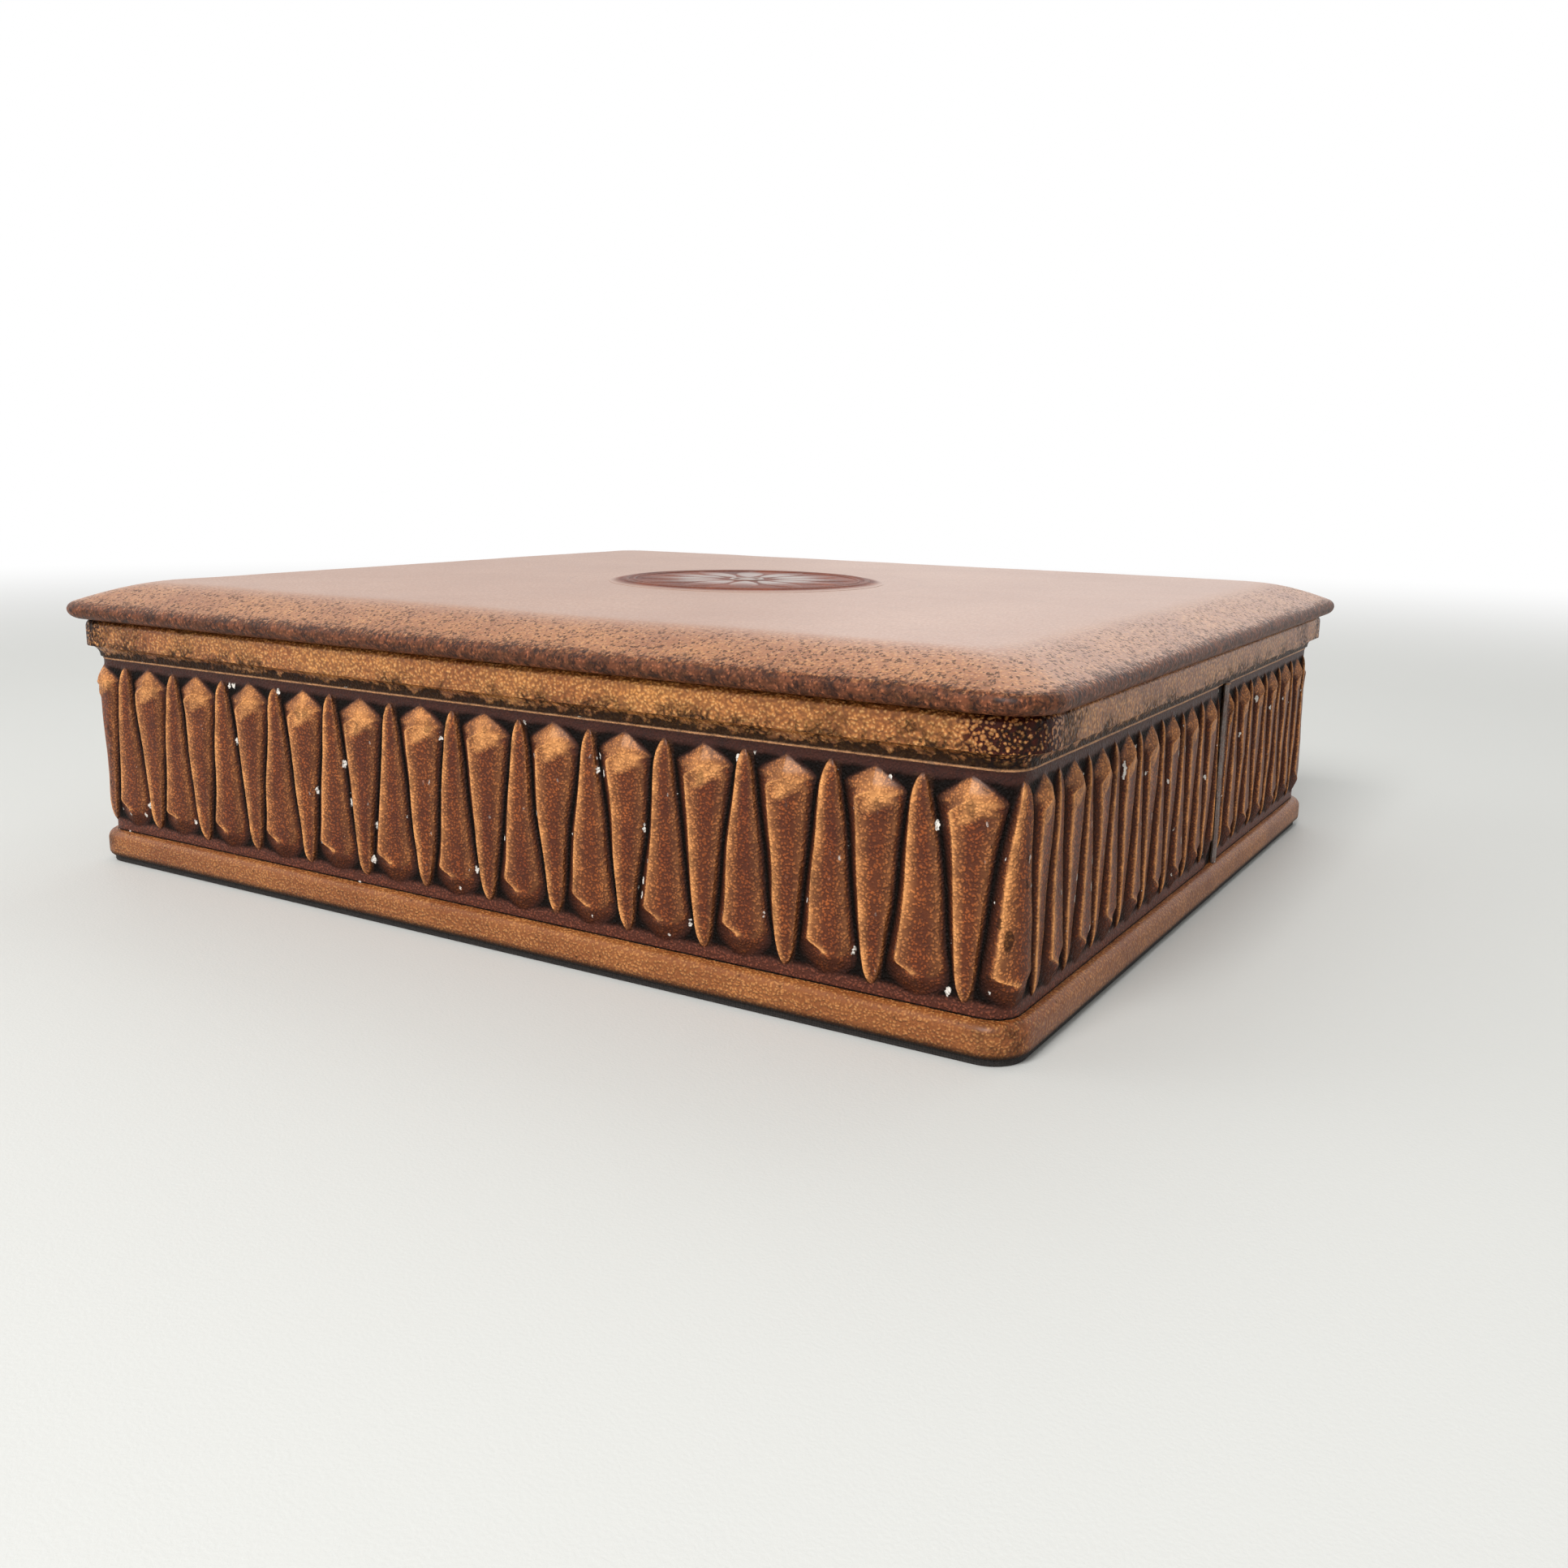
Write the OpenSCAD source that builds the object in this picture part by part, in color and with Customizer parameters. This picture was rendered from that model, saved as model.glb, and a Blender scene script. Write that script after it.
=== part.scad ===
// Stationery box: a wooden case covered in tooled leather, with a padded lid that lifts off.
// The origin is the centre of the underside. The long front faces -Y and +Z is up.

/* [Case] */
// Length of the case along the front, over the base moulding
case_w = 337; // [240:1:420]
// Depth of the case from front to back, over the base moulding
case_d = 298; // [200:1:380]
// Height of the case from the table to the top of its rim
case_h = 82.3; // [62:0.1:130]
// Corner radius of the case in plan, at the base moulding
corner_r = 10.5; // [9:0.5:16]
// Thickness of the wooden walls
wall_t = 7; // [5:0.5:12]
// How far the wooden walls stand in from the base moulding
wall_in = 4.3; // [4:0.1:5]
// Thickness of the bottom board
board_t = 4; // [3:0.5:8]
// Thickness of the dark cover glued under the box
cover_t = 1.6; // [0.8:0.1:3]
// How far the dark cover stands in from the base moulding
cover_in = 1.5; // [0.5:0.1:4]
// Thickness of the covering leather
leather_t = 1; // [0.6:0.1:1.4]

/* [Mouldings] */
// Height of the leather covered base moulding
base_h = 9; // [7:0.1:16]
// How far the base moulding bulges past the nominal outline
base_bulge = 0.2; // [0:0.1:1]
// Radius of the upper edge of the base moulding
base_top_r = 3; // [2:0.1:4]
// Radius of the lower edge of the base moulding
base_foot_r = 2; // [1.5:0.1:3]
// Height of the rim moulding under the lid
rim_h = 12.3; // [10:0.1:18]
// How far the rim moulding stands out past the base outline
rim_out = 1.7; // [0.5:0.1:3]
// Radius of the hollow under the rim moulding
cove_r = 3.8; // [2:0.1:4.2]
// Radius of the upper edge of the rim moulding
rim_top_r = 2.4; // [1.5:0.1:4]
// How far the rim leather is turned down inside the case
turn_down = 8; // [4:0.5:14]

/* [Frieze] */
// How far the flat ground of the frieze stands in from the base outline
ground_in = 3; // [2.8:0.1:3.4]
// Thickness of the frieze leather at its ground
frieze_t = 1.2; // [0.8:0.1:1.3]
// Spacing of like darts on the long sides
pitch_long = 24.2; // [18:0.1:36]
// Spacing of like darts on the short sides
pitch_short = 19.9; // [16:0.1:36]
// How far the pattern is carried round the corners
pattern_shift = 2.3; // [0:0.1:5]
// Width of a dart at its head
head_w = 14; // [8:0.1:16]
// Width of a dart at its narrow end
point_w = 4.2; // [2:0.1:6]
// Height of a dart's head above the ground
head_lift = 2.5; // [1:0.1:2.8]
// Height of a dart's ridge above the ground
ridge_lift = 2.1; // [0.8:0.1:2.4]
// Plain ground left above and below the darts
border = 3.3; // [1:0.1:8]
// Length of a dart's faceted end
head_l = 4.4; // [2:0.1:8]
// Distance from the near right corner to the frieze seam
seam_from_corner = 167; // [60:1:180]
// Gap left between the two frieze strips at a seam
seam_gap = 0.5; // [0.2:0.1:1.5]

/* [Lid] */
// How far the lid overhangs the base outline on every side
lid_over = 5.8; // [3:0.1:9]
// Corner radius of the lid in plan
lid_r = 13; // [9:0.5:24]
// Thickness of the lid board
lid_board_t = 3.8; // [3:0.1:6]
// Space between the lid board's edge and its leather
board_fit = 0.3; // [0.3:0.1:1]
// Rise of the padded top above the lid's rounded edge
dome_rise = 6.5; // [3:0.1:12]
// Width of the sloping border round the flat field
dome_run = 24; // [14:0.5:60]
// Corner radius of the flat field on top
field_r = 15; // [8:0.5:30]
// Width of the leather turned in under the lid
turn_in = 15; // [8:0.5:24]
// Gap between the case's rim and the closed lid
seat_gap = 0.3; // [0.1:0.1:1]
// Diameter of the tooled medallion on the lid
medallion_d = 98; // [40:1:130]
// Thickness of the medallion's leather
medallion_t = 0.5; // [0.3:0.1:1]
// Number of petals in the medallion's rosette
petals = 12; // [6:1:16]

/* [Inside] */
// Thickness of the lining paper on the walls
lining_t = 0.8; // [0.3:0.1:1]
// Thickness of the lining on the floor
floor_t = 1; // [0.5:0.1:3]
// Depth of the locating rails under the lid
rail_h = 6; // [4:0.5:14]
// Thickness of the locating rails
rail_t = 6; // [4:0.5:10]
// Clearance between the locating rails and the rim leather
rail_gap = 1; // [0.4:0.1:2]
// Radius of the pins in the corner joints
pin_r = 0.7; // [0.5:0.1:1]
// Length of the pins in the corner joints
pin_l = 18; // [14:1:24]
// Clearance round each pin in its hole
pin_gap = 0.05; // [0.02:0.01:0.1]

/* [Hidden] */
$fn = 64;

// Heights of the case
board_z = cover_t;
floor_z = board_z + board_t;
lining_z = floor_z + floor_t;
base_top_z = cover_t + base_h;
rim_z = case_h - rim_h;
wall_top_z = case_h - leather_t;
turn_z = case_h - turn_down;

// Plan sizes of the case
inner_w = case_w - 2 * (wall_in + wall_t);
inner_d = case_d - 2 * (wall_in + wall_t);
run_x = case_w - 2 * corner_r;
run_y = case_d - 2 * corner_r;
far = case_w + case_d;

// Lid sizes
lid_w = case_w + 2 * lid_over;
lid_d = case_d + 2 * lid_over;
lid_z = case_h + seat_gap;
nose_r = lid_board_t / 2 + leather_t;
nose_z = lid_z + nose_r;
dome_power = 1.6;
nose_top = 65;
dome_foot_z = nose_z + nose_r * sin(nose_top);
lid_top_z = dome_foot_z + dome_rise;
dome_steps = 7;
nose_steps = 6;
corner_steps = 6;

// Plan outline of the case, moved in from the base moulding
module case_outline(inset) {
    r = corner_r - inset;
    square([case_w - 2 * inset - 2 * r, case_d - 2 * inset], center = true);
    square([case_w - 2 * inset, case_d - 2 * inset - 2 * r], center = true);
    for (sx = [-1, 1])
        for (sy = [-1, 1])
            translate([sx * run_x / 2, sy * run_y / 2]) circle(r = r);
}

// Plan outline of the lid, moved in from its edge
module lid_outline(inset, r) {
    w = lid_w - 2 * inset;
    d = lid_d - 2 * inset;
    square([w - 2 * r, d], center = true);
    square([w, d - 2 * r], center = true);
    for (sx = [-1, 1])
        for (sy = [-1, 1])
            translate([sx * (w / 2 - r), sy * (d / 2 - r)]) circle(r = r);
}

// One side of a moulding with half of each corner, so its ends are mitred.
// The child is the section, with x out from the corner centre and y up.
module moulding_side(k, run_a, run_b) {
    run = k % 2 == 0 ? run_a : run_b;
    reach = (k % 2 == 0 ? run_b : run_a) / 2;
    rotate([0, 0, 90 * k]) {
        translate([0, -reach, 0])
            rotate([90, 0, -90])
                linear_extrude(height = run, center = true) children();
        translate([run / 2, -reach, 0])
            rotate([0, 0, -90]) rotate_extrude(angle = 45) children();
        translate([-run / 2, -reach, 0])
            mirror([1, 0, 0]) rotate([0, 0, -90]) rotate_extrude(angle = 45) children();
    }
}

// A moulding all the way round, with a quarter turn at each corner
module moulding_ring(run_a, run_b) {
    for (k = [0:3]) {
        run = k % 2 == 0 ? run_a : run_b;
        reach = (k % 2 == 0 ? run_b : run_a) / 2;
        rotate([0, 0, 90 * k]) {
            translate([0, -reach, 0])
                rotate([90, 0, -90])
                    linear_extrude(height = run, center = true) children();
            translate([run / 2, -reach, 0])
                rotate([0, 0, -90]) rotate_extrude(angle = 90) children();
        }
    }
}

// The waste outside a rounded corner of a section
module corner_waste(x, y, r, sx, sy) {
    difference() {
        translate([min(x - sx * r, x + sx), min(y - sy * r, y + sy)]) square(r + 1);
        translate([x - sx * r, y - sy * r]) circle(r = r);
    }
}

// Section of the base moulding, shrunk by the leather's thickness for the batten
module base_section(shrink) {
    x0 = corner_r - wall_in;
    x1 = corner_r + base_bulge - shrink;
    z0 = cover_t + shrink;
    z1 = base_top_z - shrink;
    difference() {
        translate([x0, z0]) square([x1 - x0, z1 - z0]);
        corner_waste(x1, z1, base_top_r - shrink, 1, 1);
        corner_waste(x1, z0, base_foot_r - shrink, 1, -1);
    }
}

// Section of the rim moulding with its cove, shrunk for the batten
module rim_section(shrink) {
    x0 = corner_r - wall_in;
    x1 = corner_r + rim_out - shrink;
    z0 = rim_z + shrink;
    z1 = case_h - shrink;
    difference() {
        translate([x0, z0]) square([x1 - x0, z1 - z0]);
        translate([corner_r + rim_out, rim_z]) circle(r = cove_r + shrink);
        corner_waste(x1, z1, rim_top_r - shrink, 1, 1);
    }
}

// Bores for the pins of the corner joints, or the pins themselves
module corner_rods(r, length, sink) {
    for (sx = [-1, 1])
        for (sy = [-1, 1])
            for (level = [0.2, 0.5, 0.8])
                translate([
                    sx * (inner_w + wall_t) / 2,
                    sy * (case_d / 2 - wall_in - sink),
                    floor_z + level * (wall_top_z - floor_z)
                ])
                    rotate([sy * 90, 0, 0]) cylinder(h = length, r = r);
}

pin_sink = 2;

module bottom_cover() {
    color("#201a18")
        linear_extrude(height = cover_t) case_outline(cover_in);
}

module bottom_board() {
    color("#b58a5a")
        translate([0, 0, board_z])
            linear_extrude(height = board_t) case_outline(wall_in);
}

// A long wall with rounded ends, on the front or the back
module long_wall(sy) {
    color("#c39a68")
        difference() {
            translate([0, 0, floor_z])
                linear_extrude(height = wall_top_z - floor_z)
                    intersection() {
                        case_outline(wall_in);
                        translate([-far, sy > 0 ? inner_d / 2 : -inner_d / 2 - far])
                            square([2 * far, far]);
                    }
            corner_rods(pin_r + pin_gap, pin_l + pin_sink, 0);
        }
}

// A short wall between the two long ones
module short_wall(sx) {
    color("#b88f5e")
        difference() {
            translate([0, 0, floor_z])
                linear_extrude(height = wall_top_z - floor_z)
                    intersection() {
                        case_outline(wall_in);
                        translate([sx > 0 ? inner_w / 2 : -inner_w / 2 - far, -inner_d / 2])
                            square([far, inner_d]);
                    }
            corner_rods(pin_r + pin_gap, pin_l + pin_sink, 0);
        }
}

module corner_pins() {
    color("#8f8f8a")
        corner_rods(pin_r, pin_l, pin_sink);
}

module base_batten(k) {
    color("#c9a171")
        moulding_side(k, run_x, run_y) base_section(leather_t);
}

module base_leather() {
    color("#b0682c")
        moulding_ring(run_x, run_y)
            difference() {
                base_section(0);
                base_section(leather_t);
            }
}

module rim_batten(k) {
    color("#c9a171")
        moulding_side(k, run_x, run_y) rim_section(leather_t);
}

// Leather over the rim moulding, across the top of the walls and down inside
module rim_leather() {
    skirt_w = inner_w - 2 * leather_t;
    skirt_d = inner_d - 2 * leather_t;
    color("#b8702f") {
        moulding_ring(run_x, run_y)
            difference() {
                rim_section(0);
                rim_section(leather_t);
            }
        difference() {
            union() {
                translate([0, 0, wall_top_z])
                    linear_extrude(height = leather_t) case_outline(wall_in);
                translate([-inner_w / 2, -inner_d / 2, turn_z])
                    cube([inner_w, inner_d, case_h - turn_z]);
            }
            translate([-skirt_w / 2, -skirt_d / 2, turn_z - 1])
                cube([skirt_w, skirt_d, turn_down + 2]);
        }
    }
}

// Reference line of the frieze: the outline of its ground, followed from the
// middle of the front left corner along the front and round the case
ground_r = corner_r - ground_in;
half_arc = ground_r * PI / 4;
side_x = run_x + 2 * half_arc;
side_y = run_y + 2 * half_arc;
girth = 2 * (side_x + side_y);
side_starts = [0, side_x, side_x + side_y, 2 * side_x + side_y];

function turned(p, k) =
    let (a = 90 * k)
    [p[0] * cos(a) - p[1] * sin(a), p[0] * sin(a) + p[1] * cos(a)];

function on_side(k, u, lift) =
    let (run = k % 2 == 0 ? run_x : run_y)
    let (reach = (k % 2 == 0 ? run_y : run_x) / 2)
    let (r = ground_r + lift)
    let (a = u < half_arc
        ? -135 + 45 * u / half_arc
        : -90 + 45 * (u - half_arc - run) / half_arc)
    turned(
        u < half_arc ? [-run / 2 + r * cos(a), -reach + r * sin(a)] :
        u > half_arc + run ? [run / 2 + r * cos(a), -reach + r * sin(a)] :
        [u - half_arc - run / 2, -reach - r], k);

function wrapped(s) = s - girth * floor(s / girth);

function on_ground(s, z, lift) =
    let (w = wrapped(s))
    let (k = w < side_starts[1] ? 0 : w < side_starts[2] ? 1 : w < side_starts[3] ? 2 : 3)
    let (p = on_side(k, w - side_starts[k], lift))
    [p[0], p[1], z];

// An odd number of half pitches on each side keeps the darts alternating
function odd_count(length, pitch) = 2 * round((2 * length / pitch - 1) / 2) + 1;
count_x = odd_count(side_x, pitch_long);
count_y = odd_count(side_y, pitch_short);
counts = [count_x, count_y, count_x, count_y];
half_x = side_x / count_x;
half_y = side_y / count_y;
halves = [half_x, half_y, half_x, half_y];
dart_at = [for (k = [0:3]) for (j = [0:counts[k] - 1])
    side_starts[k] + j * halves[k] + pattern_shift];
dart_count = len(dart_at);
corner_ids = [0, count_x, count_x + count_y, 2 * count_x + count_y, dart_count];
function dart_s(i) =
    dart_at[(i + dart_count) % dart_count] + girth * floor(i / dart_count);
function at_corner(i) = len(search((i + dart_count) % dart_count, corner_ids)) > 0;
function near_corner(i) = at_corner(i - 1) || at_corner(i) || at_corner(i + 1);

// A dart's width is limited where the pattern is close
half_min = min(half_x, half_y);
width_fit = min(1, (half_min - 0.6) / ((head_w + point_w) / 2));

// Rows of the frieze from bottom to top, with each row's half width and lift
frieze_z = base_top_z;
frieze_top = rim_z;
neck_l = 5;
point_lift = 1.4;
row_z = [frieze_z, frieze_z + border, frieze_z + border + head_l,
    frieze_z + border + head_l + neck_l, frieze_top - border - head_l - neck_l,
    frieze_top - border - head_l, frieze_top - border, frieze_top];
tip = 0.25;
head_half = width_fit * head_w / 2;
point_half = width_fit * point_w / 2;
neck_half = 0.9 * head_half;
heel_half = 1.25 * point_half;
down_half = [tip, tip, point_half, heel_half, neck_half, head_half, tip, tip];
down_lift = [0, 0, point_lift, point_lift, ridge_lift, head_lift, 0, 0];
up_half = [tip, tip, head_half, neck_half, heel_half, point_half, tip, tip];
up_lift = [0, 0, head_lift, ridge_lift, point_lift, point_lift, 0, 0];
function row_half(i, row) = i % 2 == 0 ? down_half[row] : up_half[row];
function row_lift(i, row) = i % 2 == 0 ? down_lift[row] : up_lift[row];

// Columns of a strip: each dart has its edges and ridge, with more at a corner
function dart_shares(i) = near_corner(i) ? [-1:0.25:1] : [-1, 0, 1];
function gap_shares(i) = near_corner(i) ? [0.25, 0.5, 0.75] : [];
function strip_columns(first, last) = [
    for (i = [first:last]) each concat(
        [for (f = dart_shares(i)) [i, f, 0]],
        i < last ? [for (f = gap_shares(i)) [i, f, 1]] : [])
];
function free_s(c, row) =
    c[2] == 0
        ? dart_s(c[0]) + c[1] * row_half(c[0], row)
        : (1 - c[1]) * (dart_s(c[0]) + row_half(c[0], row))
            + c[1] * (dart_s(c[0] + 1) - row_half(c[0] + 1, row));

// Lift of a dart's two slopes at a place along the frieze
function slope_lift(i, row, s) =
    max(0, 1 - abs(s - dart_s(i)) / row_half(i, row)) * row_lift(i, row);

// One strip of the frieze from dart to dart, cut halfway to the next darts
module frieze_strip(first, last, tone) {
    rows = len(row_z);
    columns = strip_columns(first, last);
    start_s = (dart_s(first - 1) + dart_s(first)) / 2 + seam_gap / 2;
    end_s = (dart_s(last) + dart_s(last + 1)) / 2 - seam_gap / 2;
    n = len(columns) + 2;
    end_step = 0.3;
    front = [for (row = [0:rows - 1]) each concat(
        [on_ground(start_s, row_z[row], slope_lift(first, row, start_s))],
        [for (c = columns)
            let (s = max(start_s + end_step, min(end_s - end_step, free_s(c, row))))
            on_ground(s, row_z[row], c[2] == 0 ? slope_lift(c[0], row, s) : 0)],
        [on_ground(end_s, row_z[row], slope_lift(last, row, end_s))])];
    back = [for (row = [0, rows - 1]) each concat(
        [on_ground(start_s, row_z[row], -frieze_t)],
        [for (c = columns)
            let (s = max(start_s + end_step, min(end_s - end_step, free_s(c, 2))))
            on_ground(s, row_z[row], -frieze_t)],
        [on_ground(end_s, row_z[row], -frieze_t)])];
    low = rows * n;
    high = low + n;
    faces = concat(
        [for (row = [0:rows - 2]) for (c = [0:n - 2])
            let (a = row * n + c)
            each [[a, a + n, a + n + 1], [a, a + n + 1, a + 1]]],
        [for (c = [0:n - 2])
            each [[low + c, high + c + 1, high + c], [low + c, low + c + 1, high + c + 1]]],
        [for (c = [0:n - 2])
            each [[c, c + 1, low + c + 1], [c, low + c + 1, low + c]]],
        [for (c = [0:n - 2]) let (a = (rows - 1) * n + c)
            each [[a, high + c + 1, a + 1], [a, high + c, high + c + 1]]],
        [for (row = [0:rows - 2]) [low, (row + 1) * n, row * n]],
        [[low, high, (rows - 1) * n]],
        [for (row = [0:rows - 2]) [low + n - 1, (row + 1) * n - 1, (row + 2) * n - 1]],
        [[low + n - 1, rows * n - 1, high + n - 1]]);
    color(tone) polyhedron(points = concat(front, back), faces = faces);
}

// The seams stand on the short sides, between two darts
seam_step = round((seam_from_corner - corner_r + half_arc - pattern_shift) / half_y - 0.5);
seam_id = count_x + seam_step;
rear_id = dart_count - seam_step;

module floor_lining() {
    color("#6d2f2a")
        translate([-inner_w / 2, -inner_d / 2, floor_z])
            cube([inner_w, inner_d, floor_t]);
}

module long_lining(sy) {
    color("#7a3630")
        translate([
            -inner_w / 2,
            sy > 0 ? inner_d / 2 - lining_t : -inner_d / 2,
            lining_z
        ])
            cube([inner_w, lining_t, turn_z - lining_z]);
}

module short_lining(sx) {
    color("#74332e")
        translate([
            sx > 0 ? inner_w / 2 - lining_t : -inner_w / 2,
            lining_t - inner_d / 2,
            lining_z
        ])
            cube([lining_t, inner_d - 2 * lining_t, turn_z - lining_z]);
}

// The lid board, with a half round edge
module lid_board() {
    board_z0 = lid_z + leather_t;
    edge_r = lid_board_t / 2;
    core_in = nose_r + board_fit;
    color("#b58a5a") {
        translate([0, 0, board_z0])
            linear_extrude(height = lid_board_t) lid_outline(core_in, lid_r - core_in);
        moulding_ring(lid_w - 2 * lid_r, lid_d - 2 * lid_r)
            intersection() {
                translate([lid_r - core_in, nose_z]) circle(r = edge_r);
                translate([lid_r - core_in, board_z0]) square([edge_r, lid_board_t]);
            }
    }
}

// Points round one level of the lid, moved in from its edge
function lid_loop(inset, z, r) = [
    for (k = [0:3]) for (j = [0:corner_steps])
        let (a = -90 + 90 * k + 90 * j / corner_steps)
        let (sx = k == 0 || k == 1 ? 1 : -1)
        let (sy = k == 1 || k == 2 ? 1 : -1)
        [sx * (lid_w / 2 - inset - r) + r * cos(a), sy * (lid_d / 2 - inset - r) + r * sin(a), z]
];

// Levels of the rounded edge, from below to the foot of the dome
function nose_levels(shrink) = [
    for (j = [0:nose_steps])
        let (a = -90 + (nose_top + 90) * j / nose_steps)
        let (r = nose_r - shrink)
        let (inset = nose_r - r * cos(a))
        [inset, nose_z + r * sin(a), lid_r - inset]
];

// Levels of the padded slope, from the foot of the dome to the flat field
function dome_levels(shrink, first) =
    let (foot_in = nose_r - (nose_r - shrink) * cos(nose_top))
    let (foot_z = nose_z + (nose_r - shrink) * sin(nose_top))
    [
        for (j = [first:dome_steps])
            let (t = j / dome_steps)
            let (inset = foot_in + (dome_run - foot_in) * t)
            let (rise = lid_top_z - shrink - foot_z)
            [inset, foot_z + rise * (1 - pow(1 - t, dome_power)),
                (lid_r - foot_in) * (1 - t) + field_r * t]
    ];

// A closed skin over a list of levels, flat across its first and last one
module loft(levels) {
    per = 4 * (corner_steps + 1);
    points = [for (l = levels) each lid_loop(l[0], l[1], l[2])];
    last = (len(levels) - 1) * per;
    faces = concat(
        [[for (j = [0:per - 1]) j]],
        [[for (j = [0:per - 1]) last + per - 1 - j]],
        [for (m = [0:len(levels) - 2]) for (j = [0:per - 1])
            let (a = m * per + j)
            let (b = m * per + (j + 1) % per)
            each [[a, a + per, b + per], [a, b + per, b]]]);
    polyhedron(points = points, faces = faces);
}

// Padding between the lid board and the leather
module lid_padding() {
    pad_z = lid_z + leather_t + lid_board_t;
    color("#d9cfb8")
        loft(concat([[nose_r, pad_z, lid_r - nose_r]], dome_levels(leather_t, 1)));
}

// Leather over the top, round the edge and turned in underneath
module lid_leather() {
    turn_r = max(lid_r - turn_in, 2);
    per = 4 * (corner_steps + 1);
    outside = concat([[turn_in, lid_z, turn_r]], nose_levels(0), dome_levels(0, 1));
    inside = concat([[turn_in, lid_z + leather_t, turn_r]], nose_levels(leather_t),
        dome_levels(leather_t, 1));
    count = len(outside);
    points = [for (l = concat(outside, inside)) each lid_loop(l[0], l[1], l[2])];
    inner = count * per;
    top = (count - 1) * per;
    faces = concat(
        [for (m = [0:count - 2]) for (j = [0:per - 1])
            let (a = m * per + j)
            let (b = m * per + (j + 1) % per)
            each [[a, a + per, b + per], [a, b + per, b]]],
        [for (m = [0:count - 2]) for (j = [0:per - 1])
            let (a = inner + m * per + j)
            let (b = inner + m * per + (j + 1) % per)
            each [[a, b + per, a + per], [a, b, b + per]]],
        [for (j = [0:per - 1])
            let (b = (j + 1) % per)
            each [[j, b, inner + b], [j, inner + b, inner + j]]],
        [[for (j = [0:per - 1]) top + per - 1 - j]],
        [[for (j = [0:per - 1]) inner + top + j]]);
    color("#b87a4c") polyhedron(points = points, faces = faces);
}

// Leather medallion laid on the flat field, with a raised ring and a rosette
module lid_medallion() {
    rad = medallion_d / 2;
    ring_w = 3;
    boss_r = 7;
    petal_l = rad - 3 * ring_w - boss_r;
    petal_r = petal_l * 1.05;
    petal_half = 5;
    emboss = medallion_t;
    color("#7d2f22") {
        translate([0, 0, lid_top_z]) cylinder(h = medallion_t, r = rad);
        translate([0, 0, lid_top_z + medallion_t])
            linear_extrude(height = emboss) {
                difference() {
                    circle(r = rad - 1);
                    circle(r = rad - 1 - ring_w);
                }
                circle(r = boss_r);
                for (k = [0:petals - 1])
                    rotate(360 * k / petals)
                        translate([boss_r + 1 + petal_l / 2, 0])
                            intersection() {
                                translate([0, petal_half - petal_r]) circle(r = petal_r);
                                translate([0, petal_r - petal_half]) circle(r = petal_r);
                            }
            }
    }
}

module lid_lining() {
    color("#74332e")
        translate([0, 0, lid_z])
            linear_extrude(height = leather_t)
                lid_outline(turn_in, max(lid_r - turn_in, 2));
}

// Rails under the lid that drop inside the case's rim
rail_w = inner_w - 2 * (leather_t + rail_gap);
rail_d = inner_d - 2 * (leather_t + rail_gap);

module long_rail(sy) {
    color("#a8794a")
        translate([-rail_w / 2, sy > 0 ? rail_d / 2 - rail_t : -rail_d / 2, lid_z - rail_h])
            cube([rail_w, rail_t, rail_h]);
}

module short_rail(sx) {
    color("#a07245")
        translate([sx > 0 ? rail_w / 2 - rail_t : -rail_w / 2, rail_t - rail_d / 2, lid_z - rail_h])
            cube([rail_t, rail_d - 2 * rail_t, rail_h]);
}

bottom_cover();
bottom_board();
long_wall(-1);  // front_wall
long_wall(1);  // back_wall
short_wall(-1);  // left_wall
short_wall(1);  // right_wall
corner_pins();
base_batten(0);  // base_batten_front
base_batten(1);  // base_batten_right
base_batten(2);  // base_batten_back
base_batten(3);  // base_batten_left
base_leather();
rim_batten(0);  // rim_batten_front
rim_batten(1);  // rim_batten_right
rim_batten(2);  // rim_batten_back
rim_batten(3);  // rim_batten_left
rim_leather();
frieze_strip(rear_id + 1 - dart_count, seam_id, "#8c5226");  // frieze_strip_front
frieze_strip(seam_id + 1, rear_id, "#7e4922");  // frieze_strip_rear
floor_lining();
long_lining(-1);  // front_lining
long_lining(1);  // back_lining
short_lining(-1);  // left_lining
short_lining(1);  // right_lining
lid_board();
lid_padding();
lid_leather();
lid_medallion();
lid_lining();
long_rail(-1);  // locating_rail_front
short_rail(1);  // locating_rail_right
long_rail(1);  // locating_rail_back
short_rail(-1);  // locating_rail_left
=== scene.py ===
import math

import bmesh
import bpy
from mathutils import Matrix, Vector, noise


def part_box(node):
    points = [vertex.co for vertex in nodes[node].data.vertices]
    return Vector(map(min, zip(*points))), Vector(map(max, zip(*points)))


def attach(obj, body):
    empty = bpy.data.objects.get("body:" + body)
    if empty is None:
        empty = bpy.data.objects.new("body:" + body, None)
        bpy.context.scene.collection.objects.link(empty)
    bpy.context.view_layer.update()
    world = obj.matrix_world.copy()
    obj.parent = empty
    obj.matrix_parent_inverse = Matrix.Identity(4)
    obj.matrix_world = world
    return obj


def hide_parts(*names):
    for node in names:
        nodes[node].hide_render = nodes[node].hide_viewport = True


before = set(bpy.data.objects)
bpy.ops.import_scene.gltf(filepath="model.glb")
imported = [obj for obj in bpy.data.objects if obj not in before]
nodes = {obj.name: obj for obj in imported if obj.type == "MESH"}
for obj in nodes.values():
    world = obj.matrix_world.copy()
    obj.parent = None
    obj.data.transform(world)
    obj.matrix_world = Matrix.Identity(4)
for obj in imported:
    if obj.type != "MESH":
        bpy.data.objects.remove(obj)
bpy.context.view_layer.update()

mm = 0.001


# small tools for modelling by hand

def clearSelection():
    if bpy.context.mode != "OBJECT":
        bpy.ops.object.mode_set(mode="OBJECT")
    bpy.ops.object.select_all(action="DESELECT")


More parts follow.
